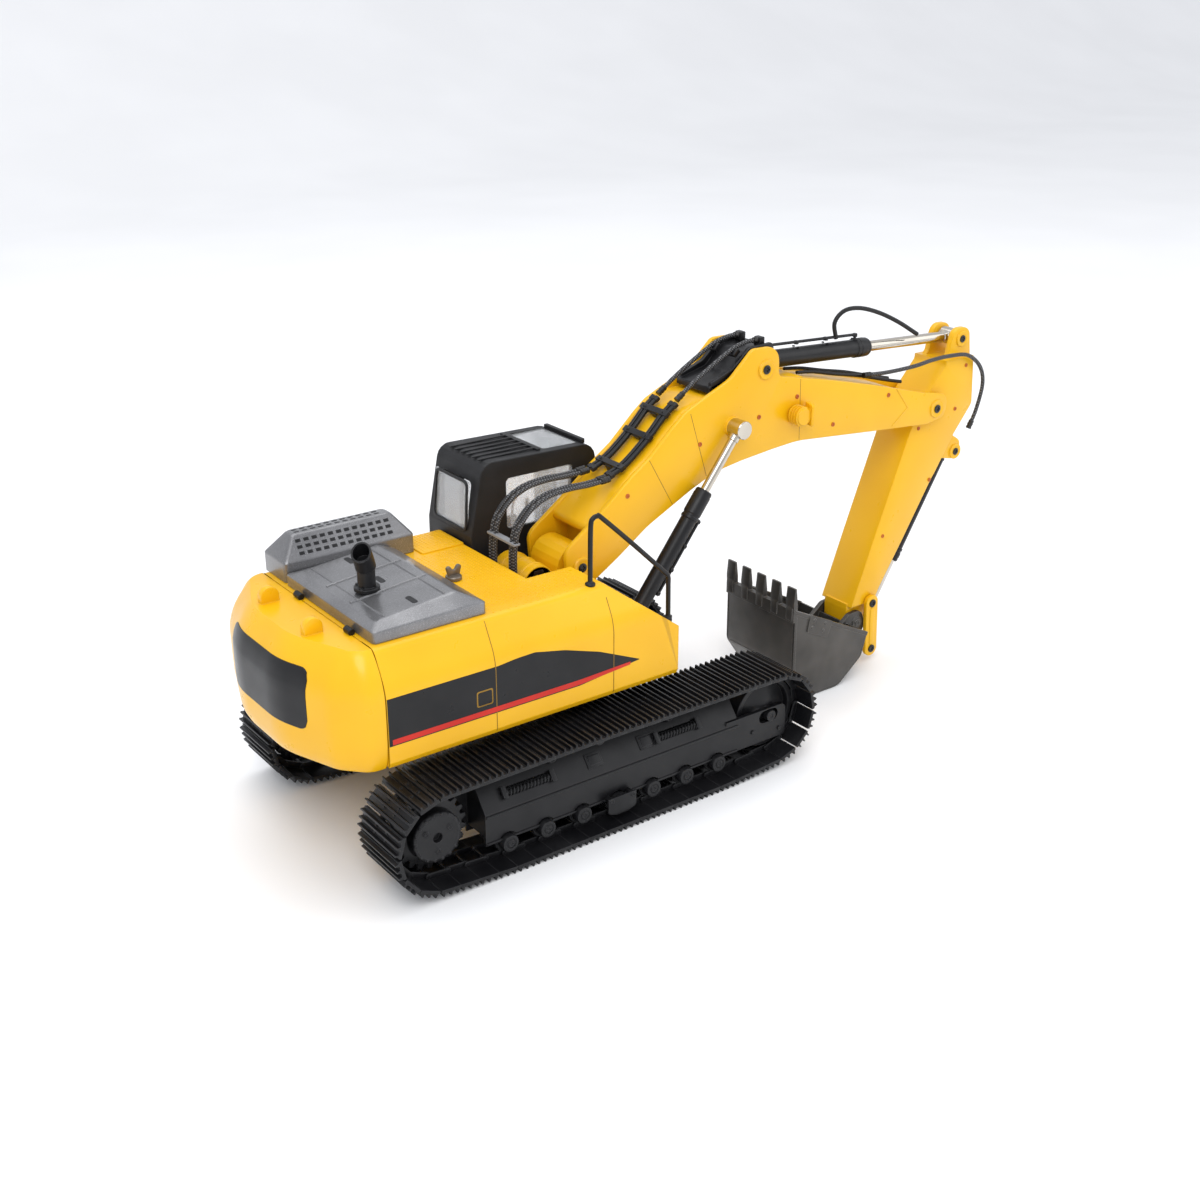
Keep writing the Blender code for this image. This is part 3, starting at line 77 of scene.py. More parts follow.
def addLight(name, place, size, power, colour=(1.0, 1.0, 1.0)):
    data = bpy.data.lights.new(name, "AREA")
    data.shape = "DISK"
    data.size = size
    data.energy = power
    data.color = colour
    lamp = bpy.data.objects.new(name, data)
    bpy.context.scene.collection.objects.link(lamp)
    lamp.location = place
    lamp.rotation_euler = (Vector((0.0, 0.0, 0.08)) - Vector(place)).to_track_quat("-Z", "Y").to_euler()


# ---- materials
def newShader(name):
    material = bpy.data.materials.new(name)
    material.use_nodes = True
    tree = material.node_tree
    coords = tree.nodes.new("ShaderNodeTexCoord")
    return material, tree, tree.nodes["Principled BSDF"], coords.outputs["Object"]


def noise(tree, place, scale, detail=3.0, rough=0.55):
    node = tree.nodes.new("ShaderNodeTexNoise")
    node.inputs["Scale"].default_value = scale
    node.inputs["Detail"].default_value = detail
    node.inputs["Roughness"].default_value = rough
    tree.links.new(place, node.inputs["Vector"])
    return node.outputs["Fac"]


def ramp(tree, value, low, high, first, second):
    node = tree.nodes.new("ShaderNodeValToRGB")
    node.color_ramp.elements[0].position = low
    node.color_ramp.elements[1].position = high
    node.color_ramp.elements[0].color = first
    node.color_ramp.elements[1].color = second
    tree.links.new(value, node.inputs["Fac"])
    return node.outputs["Color"]


def remap(tree, value, low, high):
    node = tree.nodes.new("ShaderNodeMapRange")
    node.inputs["From Min"].default_value = 0.25
    node.inputs["From Max"].default_value = 0.75
    node.inputs["To Min"].default_value = low
    node.inputs["To Max"].default_value = high
    tree.links.new(value, node.inputs["Value"])
    return node.outputs["Result"]


# Rounds hard edges in the light, then adds the fine relief of the finish.
def relief(tree, shader, value, distance, strength, edge):
    bump = tree.nodes.new("ShaderNodeBump")
    bump.inputs["Strength"].default_value = strength
    bump.inputs["Distance"].default_value = distance
    tree.links.new(value, bump.inputs["Height"])
    if edge:
        bevel = tree.nodes.new("ShaderNodeBevel")
        bevel.samples = 4
        bevel.inputs["Radius"].default_value = edge
        tree.links.new(bevel.outputs["Normal"], bump.inputs["Normal"])
    tree.links.new(bump.outputs["Normal"], shader.inputs["Normal"])


# Share of a point that lies on a sharp edge: where the rounded normal leaves the flat one.
def sharpEdgeShare(tree, radius, low, high):
    bevel = tree.nodes.new("ShaderNodeBevel")
    bevel.samples = 4
    bevel.inputs["Radius"].default_value = radius
    flat = tree.nodes.new("ShaderNodeNewGeometry")
    dot = tree.nodes.new("ShaderNodeVectorMath")
    dot.operation = "DOT_PRODUCT"
    tree.links.new(bevel.outputs["Normal"], dot.inputs[0])
    tree.links.new(flat.outputs["Normal"], dot.inputs[1])
    share = tree.nodes.new("ShaderNodeMapRange")
    share.inputs["From Min"].default_value = high
    share.inputs["From Max"].default_value = low
    tree.links.new(dot.outputs["Value"], share.inputs["Value"])
    return share.outputs["Result"]


def mixed(tree, share, first, second):
    node = tree.nodes.new("ShaderNodeMix")
    node.data_type = "RGBA"
    tree.links.new(share, node.inputs["Factor"])
    tree.links.new(first, node.inputs["A"])
    node.inputs["B"].default_value = second
    return node.outputs["Result"]


# look: two colours that the finish drifts between, roughness low and high, metallic, coat,
# grain scale per metre, grain height, grain strength, edge radius, lighter colour for sharp edges and share.
def makeFinish(name, look):
    material, tree, shader, place = newShader(name)
    drift = noise(tree, place, look.get("drift", 35.0), 2.0)
    colour = ramp(tree, drift, 0.35, 0.65, (*look["dark"], 1.0), (*look["light"], 1.0))
    grain = noise(tree, place, look["grain"], look.get("detail", 3.0))
    if "speck" in look:
        fleck = noise(tree, place, look["fleckScale"], 1.0)
        node = tree.nodes.new("ShaderNodeMapRange")
        node.inputs["From Min"].default_value = 0.60
        node.inputs["From Max"].default_value = 0.72
        tree.links.new(fleck, node.inputs["Value"])
        colour = mixed(tree, node.outputs["Result"], colour, (*look["speck"], 1.0))
    # Sharp edges, found where the bevelled normal leaves the flat one, are drawn in a lighter colour.
    if "edgeTint" in look:
        colour = mixed(tree, sharpEdgeShare(tree, 0.0006, 0.86, 0.98), colour, (*look["edgeTint"], 1.0))
    tree.links.new(colour, shader.inputs["Base Color"])
    tree.links.new(remap(tree, noise(tree, place, look.get("smudge", 90.0)), *look["rough"]), shader.inputs["Roughness"])
    shader.inputs["Metallic"].default_value = look.get("metallic", 0.0)
    shader.inputs["Specular IOR Level"].default_value = look.get("shine", 0.5)
    shader.inputs["Coat Weight"].default_value = look.get("coat", 0.0)
    shader.inputs["Coat Roughness"].default_value = look.get("coatRough", 0.1)
    relief(tree, shader, grain, look["height"], look["strength"], look.get("edge", 0.0))
    return material


# Braided sleeve: two crossed sets of fine diagonal bands and pale ticks along the hose.
def makeBraid(name, look):
    material, tree, shader, place = newShader(name)
    waves = []
    for turn in look["turns"]:
        mapping = tree.nodes.new("ShaderNodeMapping")
        mapping.inputs["Rotation"].default_value = turn
        tree.links.new(place, mapping.inputs["Vector"])
        wave = tree.nodes.new("ShaderNodeTexWave")
        wave.inputs["Scale"].default_value = look["bands"]
        tree.links.new(mapping.outputs["Vector"], wave.inputs["Vector"])
        waves.append(wave.outputs["Fac"])
    product = tree.nodes.new("ShaderNodeMath")
    product.operation = "MULTIPLY"
    tree.links.new(waves[0], product.inputs[0])
    tree.links.new(waves[1], product.inputs[1])
    colour = ramp(tree, product.outputs["Value"], 0.30, 0.62, (*look["dark"], 1.0), (*look["light"], 1.0))
    tree.links.new(colour, shader.inputs["Base Color"])
    tree.links.new(remap(tree, noise(tree, place, 400.0), 0.42, 0.6), shader.inputs["Roughness"])
    relief(tree, shader, product.outputs["Value"], 0.0004, 0.8, 0.0)
    return material


def makeGlass(name, look):
    material, tree, shader, place = newShader(name)
    colour = ramp(tree, noise(tree, place, 25.0), 0.3, 0.7, (*look["dark"], 1.0), (*look["light"], 1.0))
    tree.links.new(colour, shader.inputs["Base Color"])
    tree.links.new(remap(tree, noise(tree, place, 120.0), 0.02, 0.09), shader.inputs["Roughness"])
    shader.inputs["Transmission Weight"].default_value = look["clear"]
    shader.inputs["IOR"].default_value = 1.46
    shader.inputs["Alpha"].default_value = look["alpha"]
    relief(tree, shader, noise(tree, place, 60.0), 0.0003, 0.15, 0.0)
    return material


finishes = {
    "yellow": {
        "dark": (0.76, 0.40, 0.003), "light": (0.80, 0.435, 0.005), "rough": (0.26, 0.36), "coat": 0.12, "coatRough": 0.12, "shine": 0.32,
        "grain": 900.0, "height": 0.00012, "strength": 0.25, "edge": 0.0007, "drift": 18.0,
    },
    "yellowMatte": {
        "dark": (0.74, 0.385, 0.003), "light": (0.78, 0.42, 0.005), "rough": (0.40, 0.52),
        "grain": 1100.0, "height": 0.00015, "strength": 0.35, "edge": 0.0004,
    },
    "black": {
        "dark": (0.005, 0.005, 0.006), "light": (0.010, 0.010, 0.011), "rough": (0.30, 0.44), "edgeTint": (0.030, 0.030, 0.032), "shine": 0.30,
        "grain": 1500.0, "height": 0.0001, "strength": 0.4, "edge": 0.0005,
    },
    "cabBlack": {
        "dark": (0.008, 0.008, 0.009), "light": (0.014, 0.014, 0.015), "rough": (0.44, 0.56), "edgeTint": (0.030, 0.030, 0.031), "shine": 0.30,
        "grain": 2600.0, "height": 0.00012, "strength": 0.5, "edge": 0.0007,
    },
    "track": {
        "dark": (0.004, 0.004, 0.005), "light": (0.009, 0.009, 0.010), "rough": (0.28, 0.46), "edgeTint": (0.040, 0.040, 0.042), "shine": 0.32,
        "grain": 1300.0, "height": 0.0002, "strength": 0.4, "edge": 0.0003, "smudge": 60.0,
    },
    "silver": {
        "dark": (0.15, 0.15, 0.155), "light": (0.19, 0.19, 0.195), "rough": (0.26, 0.36), "metallic": 0.6, "coat": 0.4,
        "grain": 2400.0, "height": 0.0001, "strength": 0.25, "edge": 0.0007,
        "speck": (0.46, 0.46, 0.48), "fleckScale": 4200.0,
    },
    "gunmetal": {
        "dark": (0.050, 0.047, 0.043), "light": (0.078, 0.073, 0.067), "rough": (0.30, 0.42), "metallic": 0.55,
        "grain": 1700.0, "height": 0.00014, "strength": 0.35, "edge": 0.0005, "edgeTint": (0.16, 0.155, 0.145),
    },
    "chrome": {
        "dark": (0.50, 0.46, 0.40), "light": (0.58, 0.54, 0.47), "rough": (0.10, 0.18), "metallic": 1.0,
        "grain": 3000.0, "height": 0.00004, "strength": 0.2, "edge": 0.0003,
    },
    "steel": {
        "dark": (0.030, 0.029, 0.028), "light": (0.055, 0.053, 0.051), "rough": (0.22, 0.34), "metallic": 0.8,
        "grain": 2500.0, "height": 0.00006, "strength": 0.3, "edge": 0.0002,
    },
    "latchGrey": {
        "dark": (0.15, 0.125, 0.10), "light": (0.20, 0.17, 0.14), "rough": (0.30, 0.42), "metallic": 0.6,
        "grain": 2400.0, "height": 0.0001, "strength": 0.3, "edge": 0.0003,
    },
    "rubber": {
        "dark": (0.006, 0.006, 0.006), "light": (0.012, 0.012, 0.012), "rough": (0.40, 0.52), "shine": 0.3,
        "grain": 1900.0, "height": 0.0001, "strength": 0.3,
    },
    "grey": {
        "dark": (0.20, 0.205, 0.215), "light": (0.27, 0.275, 0.285), "rough": (0.42, 0.55),
        "grain": 1500.0, "height": 0.00012, "strength": 0.3, "edge": 0.0004,
    },
    "paleGrey": {
        "dark": (0.55, 0.55, 0.56), "light": (0.66, 0.66, 0.67), "rough": (0.35, 0.48),
        "grain": 1500.0, "height": 0.0001, "strength": 0.3, "edge": 0.0004,
    },
    "board": {
        "dark": (0.008, 0.09, 0.03), "light": (0.02, 0.17, 0.06), "rough": (0.32, 0.5),
        "grain": 700.0, "height": 0.0003, "strength": 0.5,
    },
    "decal": {
        "dark": (0.008, 0.008, 0.009), "light": (0.013, 0.013, 0.014), "rough": (0.26, 0.34), "shine": 0.25,
        "grain": 2000.0, "height": 0.00005, "strength": 0.2,
    },
    "red": {
        "dark": (0.50, 0.016, 0.008), "light": (0.57, 0.024, 0.012), "rough": (0.28, 0.38), "shine": 0.3,
        "grain": 2000.0, "height": 0.00005, "strength": 0.2,
    },
    "orange": {
        "dark": (0.42, 0.09, 0.01), "light": (0.52, 0.13, 0.015), "rough": (0.30, 0.42), "metallic": 0.2,
        "grain": 2200.0, "height": 0.00008, "strength": 0.3,
    },
    "groove": {
        "dark": (0.20, 0.10, 0.002), "light": (0.28, 0.15, 0.004), "rough": (0.50, 0.62),
        "grain": 1500.0, "height": 0.0001, "strength": 0.2,
    },
    "floor": {
        "dark": (0.90, 0.90, 0.90), "light": (0.93, 0.93, 0.93), "rough": (0.42, 0.5),
        "grain": 300.0, "height": 0.0001, "strength": 0.05, "drift": 3.0, "smudge": 5.0,
    },
}
made = {name: makeFinish(name, look) for name, look in finishes.items()}
made["braid"] = makeBraid("braid", {
    "dark": (0.010, 0.010, 0.011), "light": (0.16, 0.16, 0.165), "bands": 230.0,
    "turns": ((0.0, radians(45), 0.0), (0.0, radians(-45), 0.0)),
})
made["glass"] = makeGlass("glass", {"dark": (0.85, 0.88, 0.90), "light": (0.93, 0.95, 0.96), "clear": 0.55, "alpha": 0.42})
print("materials made")

nodeFinish = {
    "yellow": ("house_deck", "counterweight", "boom", "boom_lamp", "stick", "rocker_link", "bucket_link"),
    "black": (
        "car_body", "track_frame_right", "track_frame_left", "handrail", "boom_pipes", "hose_bracket", "exhaust_stack",
        "boom_cylinder_barrel_right", "boom_cylinder_barrel_left", "arm_cylinder_barrel", "bucket_cylinder_barrel",
    ),
    "cabBlack": ("cab_frame",),
    "silver": ("engine_hood", "louvre_box"),
    "gunmetal": ("bucket",),
    "chrome": ("boom_cylinder_rod_right", "boom_cylinder_rod_left", "arm_cylinder_rod", "bucket_cylinder_rod"),
    "glass": ("windscreen",),
    "grey": ("slew_ring", "cab_seat", "battery_pack", "slew_motor"),
    "board": ("control_board",),
    "steel": ("boom_foot_pin", "stick_pin"),
    "latchGrey": ("hood_latch",),
    "braid": ("deck_hoses", "knee_hoses", "stick_hose"),
}


def paintNodes():
    finishOf = {node: finish for finish, nodes in nodeFinish.items() for node in nodes}
    for name, node in frame["nodes"].items():
        node.data.materials.clear()
        node.data.materials.append(made[finishOf.get(name, "track")])


paintNodes()


# ---- surfaces. A part is (points, quads, end faces); assemble() makes one mesh object of many parts.
# Surface through rings[k, i]; loop joins the last ring to the first, caps close the two ends.
def loft(rings, loop=False, caps=True):
    count, around = rings.shape[:2]
    i = np.arange(around)
    first = np.arange(count if loop else count - 1)[:, None] * around
    second = (first + around) % (count * around)
    quads = np.stack([first + i, first + (i + 1) % around, second + (i + 1) % around, second + i], axis=-1).reshape(-1, 4)
    ends = [] if loop or not caps else [i[::-1], i + (count - 1) * around]
    return rings.reshape(-1, 3), quads, ends


# Open sheet through grid[k, i], given thickness along its normals by sheetSolid.
def sheetSolid(outer, inner):
    rings = np.concatenate([outer, inner[:, ::-1]], axis=1)
    return loft(rings)


# point = path + radius * (across * cos a + other * sin a)
def tube(path, radius, sides=14, ref=yAxis):
    path = np.asarray(path, float)
    along = unit(np.gradient(path, axis=0))
    across = unit(np.cross(along, ref))
    other = np.cross(along, across)
    angle = np.linspace(0, 2 * np.pi, sides, endpoint=False)[None, :, None]
    radius = np.broadcast_to(radius, len(path))[:, None, None]
    return loft(path[:, None] + radius * (np.cos(angle) * across[:, None] + np.sin(angle) * other[:, None]))


# Smooth route: Catmull-Rom curve through the points, evenly spaced in length.
def smoothRoute(points, count):
    p = np.asarray(points, float)
    p = np.concatenate([[2 * p[0] - p[1]], p, [2 * p[-1] - p[-2]]])
    t = np.linspace(0, 1, 24, endpoint=False)[:, None]
    a, b, c, d = (p[k:len(p) - 3 + k][:, None] for k in range(4))
    fine = 0.5 * (2 * b + (c - a) * t + (2 * a - 5 * b + 4 * c - d) * t**2 + (3 * b - a - 3 * c + d) * t**3)
    fine = np.concatenate([fine.reshape(-1, p.shape[1]), p[-2:-1]])
    run = np.concatenate([[0], np.cumsum(np.linalg.norm(np.diff(fine, axis=0), axis=1))])
    at = np.linspace(0, run[-1], count)
    return np.stack([np.interp(at, run, fine[:, k]) for k in range(p.shape[1])], axis=1)


# Turned part: profile of (radius, distance along axis) pairs about an axis through origin.
def turned(profile, origin, axis, sides=48, phase=0.0):
    axis = unit(axis)
    side = unit(np.cross(axis, (0.0, 0.0, 1.0) if abs(axis[2]) < 0.9 else (1.0, 0.0, 0.0)))
    other = np.cross(axis, side)
    profile = np.asarray(profile, float)
    angle = np.linspace(0, 2 * np.pi, sides, endpoint=False)[None, :, None] + phase
    radius = np.maximum(profile[:, 0], 0.01)[:, None, None]
    ring = np.cos(angle) * side + np.sin(angle) * other
    return loft(np.asarray(origin, float) + profile[:, 1][:, None, None] * axis + radius * ring)


# Outline corners (a, b, fillet radius) with each fillet as an arc.
def rounded(corners, steps=8):
    points = []
    for k, (a, b, radius) in enumerate(corners):
        corner = np.array([a, b])
        before = unit(np.array(corners[k - 1][:2]) - corner)
        after = unit(np.array(corners[(k + 1) % len(corners)][:2]) - corner)
        half = np.arccos(np.clip(before @ after, -1, 1)) / 2
        if radius <= 0 or half > 1.55:
            points.append(corner[None])
            continue
        centre = corner + unit(before + after) * radius / np.sin(half)
        start = corner + before * radius / np.tan(half) - centre
        end = corner + after * radius / np.tan(half) - centre
        turn = np.arctan2(start[0] * end[1] - start[1] * end[0], start @ end) * np.linspace(0, 1, steps + 1)[:, None]
        points.append(centre + np.cos(turn) * start + np.sin(turn) * np.array([-start[1], start[0]]))
    return np.concatenate(points)


def disc(centre, radius, count=40):
    angle = np.linspace(0, 2 * np.pi, count, endpoint=False)
    return np.stack([centre[0] + radius * np.cos(angle), centre[1] + radius * np.sin(angle)], axis=1)


# Outline drawn in by a distance along its mitred corner normals.
def inset(outline, distance):
    edge = unit(np.roll(outline, -1, axis=0) - outline)
    normal = np.stack([edge[:, 1], -edge[:, 0]], axis=1)
    before = np.roll(normal, 1, axis=0)
    mitre = (normal + before) / np.maximum(1 + (normal * before).sum(1, keepdims=True), 0.3)
    return outline - distance * mitre


# Plate of an outline between two levels along an axis, with eased edges.
def slab(outline, low, high, axis="y", ease=0.3):
    p = np.asarray(outline, float)
    q = np.roll(p, -1, axis=0)
    if (p[:, 0] * q[:, 1] - q[:, 0] * p[:, 1]).sum() < 0:
        p = p[::-1]
    corner = ease * 0.3
    steps = [(ease, low), (corner, low + corner), (0.0, low + ease), (0.0, high - ease), (corner, high - corner), (ease, high)]
    order = {"x": (2, 0, 1), "y": (0, 2, 1), "z": (0, 1, 2)}[axis]
    rings = []
    for back, level in steps:
        ring = np.column_stack([inset(p, back), np.full(len(p), level)])
        rings.append(ring[:, order])
    return loft(np.stack(rings))


def brick(low, high, ease=0.3):
    corners = [(low[0], low[2]), (high[0], low[2]), (high[0], high[2]), (low[0], high[2])]
    return slab(corners, low[1], high[1], "y", min(ease, 0.4 * min(np.subtract(high, low))))


# Part turned so that its Z points along axis, then moved to place.
def placed(part, place, axis=(0.0, 0.0, 1.0), up=(0.0, 0.0, 1.0)):
    axis = unit(axis)
    if abs(axis @ unit(up)) > 0.99:
        up = (1.0, 0.0, 0.0)
    side = unit(np.cross(up, axis))
    turn = np.stack([side, np.cross(axis, side), axis])
    return part[0] @ turn + np.asarray(place, float), part[1], part[2]


def mirroredPart(part):
    return part[0] * (1.0, -1.0, 1.0), part[1], part[2]


def assemble(name, parts, finish, body, replaced=(), sharp=32.0):
    counts = np.cumsum([0] + [len(part[0]) for part in parts])
    points = np.concatenate([part[0] for part in parts])
    quads = np.concatenate([part[1] + base for part, base in zip(parts, counts)])
    ends = [end + base for part, base in zip(parts, counts) for end in part[2]]
    mesh = bpy.data.meshes.new(name)
    loops = np.concatenate([quads.reshape(-1)] + ends)
    sizes = np.concatenate([np.full(len(quads), 4), np.array([len(end) for end in ends], int)])
    mesh.vertices.add(len(points))
    mesh.vertices.foreach_set("co", ((points + (slewX, 0.0, 0.0)) / 1000).astype(np.float32).reshape(-1))
    mesh.loops.add(len(loops))
    mesh.loops.foreach_set("vertex_index", loops.astype(np.int32))
    mesh.polygons.add(len(sizes))
    mesh.polygons.foreach_set("loop_start", np.concatenate([[0], np.cumsum(sizes)[:-1]]).astype(np.int32))
    mesh.polygons.foreach_set("loop_total", sizes.astype(np.int32))
    mesh.update(calc_edges=True)
    mesh.validate()
    outward(mesh)
    mesh.shade_smooth()
    mesh.set_sharp_from_angle(angle=radians(sharp))
    mesh.materials.append(made[finish])
    obj = bpy.data.objects.new(name, mesh)
    bpy.context.scene.collection.objects.link(obj)
    if body:
        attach(obj, body)
    if replaced:
        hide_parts(*replaced)
    return obj


# Turns every closed part of the mesh so that its faces point out.
def outward(mesh):
    work = bmesh.new()
    work.from_mesh(mesh)
    bmesh.ops.recalc_face_normals(work, faces=work.faces)
    work.to_mesh(mesh)
    work.free()


# Pan-head screw with a cross recess: a polar grid whose height is
# dome(r) - depth where |x| or |y| is inside the slot width.
def crossScrew(radius, height, depth=0.5):
    r = np.linspace(0.0, 1.0, 15)[:, None] * radius
    angle = np.linspace(0, 2 * np.pi, 48, endpoint=False)[None]
    x = r * np.cos(angle)
    y = r * np.sin(angle)
    dome = height * (1.0 - 0.35 * (r / radius) ** 4) + 0 * angle
    arm = radius * 0.56
    wide = radius * 0.15
    slotX = np.clip((wide - np.abs(x)) / 0.12 + 1, 0, 1) * (np.abs(y) < arm)
    slotY = np.clip((wide - np.abs(y)) / 0.12 + 1, 0, 1) * (np.abs(x) < arm)
    top = np.stack([x, y, dome - depth * np.maximum(slotX, slotY)], axis=-1)
    foot = np.stack([x[-1], y[-1], np.full(48, -0.3)], axis=-1)[None]
    top[0] += np.stack([0.01 * np.cos(angle[0]), 0.01 * np.sin(angle[0]), 0 * angle[0]], axis=-1)
    return loft(np.concatenate([top, foot]))


def hexHead(radius, height):
    return turned([(radius, -0.3), (radius, height * 0.8), (radius * 0.86, height)], (0, 0, 0), (0, 0, 1), 6)


# One part repeated: turns[k] holds the rows of each copy's axes, places[k] its origin.
def repeated(part, turns, places):
    points, quads, ends = part
    copies = (points @ turns + places[:, None]).reshape(-1, 3)
    base = np.arange(len(places)) * len(points)
    return copies, (quads[None] + base[:, None, None]).reshape(-1, 4), [end + k for k in base for end in ends]


# ---- crawler tracks
belt = {
    "circles": ((-123.0, 34.9, 32.0), (118.5, 34.9, 32.0), (-77.8, 15.3, 15.3), (75.2, 15.3, 15.3), (-10.0, 53.2, 15.3)),
    "shoes": 52, "middle": 76.5, "halfWidth": 21.0, "pinDepth": 6.2, "plateLow": 1.9, "plateHigh": 3.9,
    "ridges": (4.5, 0.1, -4.3), "ridgeTop": 6.2, "linkRadius": 1.75, "pinRadius": 1.1,
}


# Belt line at a depth inside the ridge tips: the hull of the wheels' circles, evenly spaced.
def beltLine(depth, count):
    rims = np.concatenate([disc((x, z), r - depth, 240) for x, z, r in belt["circles"]])
    line = rims[convex_hull_2d([tuple(point) for point in rims])]
    if (line[:, 0] * np.roll(line[:, 1], -1) - np.roll(line[:, 0], -1) * line[:, 1]).sum() < 0:
        line = line[::-1]
    line = np.concatenate([line, line[:1]])
    run = np.concatenate([[0], np.cumsum(np.linalg.norm(np.diff(line, axis=0), axis=1))])
    at = np.linspace(0, run[-1], count, endpoint=False)
    return np.stack([np.interp(at, run, line[:, k]) for k in range(2)], axis=1)


def shoeSection():
    low, high, top = belt["plateLow"], belt["plateHigh"], belt["ridgeTop"]
    points = [(-6.1, low), (6.2, low), (6.2, 3.3)]
    for u in belt["ridges"]:
        points += [(u + 0.8, high), (u + 0.45, top), (u - 0.45, top), (u - 0.8, high)]
    return points + [(-6.1, high)]


def buildTracks():
    pins = beltLine(belt["pinDepth"], belt["shoes"])
    after = np.roll(pins, -1, axis=0)
    along = unit(after - pins)
    pitch = np.linalg.norm(after - pins, axis=1).mean()
    half = pitch / 2
    flat = np.zeros(len(pins))
    turns = np.stack([
        np.stack([along[:, 0], flat, along[:, 1]], axis=1),
        np.stack([flat, flat + 1, flat], axis=1),
        np.stack([along[:, 1], flat, -along[:, 0]], axis=1),
    ], axis=1)
    wide = belt["halfWidth"]
    shoe = slab(shoeSection(), -wide, wide, "y", 0.25)
    ring = belt["linkRadius"]
    obround = np.concatenate([disc((half, 0), ring, 24)[[*range(18, 24), *range(7)]], disc((-half, 0), ring, 24)[6:19]])
    bolt = hexHead(0.95, 0.7)
    for word, side in (("right", -1), ("left", 1)):
        middle = side * belt["middle"]
        mid = (pins + after) / 2
        places = np.stack([mid[:, 0], flat + middle, mid[:, 1]], axis=1)
        pinPlaces = np.stack([pins[:, 0], flat + middle, pins[:, 1]], axis=1)
        parts = [repeated(shoe, turns, places)]
        for v in (-1, 1):
            outer = sorted((v * 6.35, v * 7.45))
            inner = sorted((v * 5.05, v * 6.15))
            parts.append(repeated(slab(obround, *outer, "y", 0.2), turns[::2], places[::2]))
            parts.append(repeated(slab(obround, *inner, "y", 0.2), turns[1::2], places[1::2]))
            for u in (-2.1, 2.2):
                parts.append(repeated(placed(bolt, (u, v * 5.6, 3.9)), turns, places))
        pin = turned([(1.1, -7.4), (1.1, 7.4)], (0, 0, 0), yAxis, 12)
        parts.append(repeated(pin, turns, pinPlaces))
        name = "track_belt_" + word
        assemble(name + "_shoes", parts, "track", "undercarriage", (name,))


buildTracks()
print("tracks made")

wheel = {
    "first": -77.8, "pitch": 25.5, "count": 7, "height": 15.6, "radius": 7.0, "tread": 5.8, "inner": 67.8, "outer": 85.2, "hub": 91.5,
}
sprocket = {"x": -123.0, "z": 34.9, "teeth": 21, "root": 19.6, "tip": 22.4, "cover": 15.2, "face": 89.6}
idler = {"x": 118.5, "z": 34.9, "radius": 23.2}


def buildWheels():
    w = wheel
    inner, outer, hub = w["inner"], w["outer"], w["hub"]
    profile = [
        (0.0, inner), (w["radius"] - 0.3, inner), (w["radius"], inner + 0.3), (w["radius"], inner + 2.0), (w["tread"], inner + 3.2),
        (w["tread"], outer - 3.2), (w["radius"], outer - 2.0), (w["radius"], outer - 0.3), (w["radius"] - 0.3, outer),
        (5.4, outer), (5.4, hub - 1.4), (4.9, hub - 0.5), (3.4, hub - 0.4), (3.2, hub - 0.9), (0.0, hub - 0.9),
    ]
    for word, side in (("right", -1), ("left", 1)):
        axis = (0, side, 0)
        for k in range(w["count"]):
            x = w["first"] + w["pitch"] * k
            parts = [turned(profile, (x, 0, w["height"]), axis, 48)]
            parts.append(placed(crossScrew(2.4, 0.9, 0.45), (x, side * (hub - 0.9), w["height"]), axis))
            name = f"road_wheel_{word}_{k + 1}"
            assemble(name + "_turned", parts, "black", name, (name,))
        roller = turned(
            [(0, 69.8), (3.2, 69.8), (3.4, 70.2), (3.4, 83.2), (3.1, 83.6), (1.6, 83.6), (1.5, 83.2), (0, 83.2)], (-10, 0, 56.5), axis, 32)
        assemble(f"carrier_roller_{word}_turned", [roller], "black", f"carrier_roller_{word}", (f"carrier_roller_{word}",))
        buildIdler(word, side)
        buildSprocket(word, side)


def buildIdler(word, side):
    profile = [
        (0.0, 70.5), (8.0, 70.5), (19.0, 74.0), (19.9, 70.8), (20.2, 70.5), (22.9, 70.5), (23.2, 70.8), (23.2, 82.2), (22.9, 82.5),
        (20.2, 82.5), (19.9, 82.2), (19.0, 79.0), (8.0, 82.5), (3.6, 83.5), (3.6, 89.2), (3.3, 89.5), (1.5, 89.5), (1.4, 89.0), (0.0, 89.0),
    ]
    wheelPart = turned(profile, (idler["x"], 0, idler["z"]), (0, side, 0), 72)
    assemble(f"idler_{word}_turned", [wheelPart], "black", f"idler_{word}", (f"idler_{word}",))


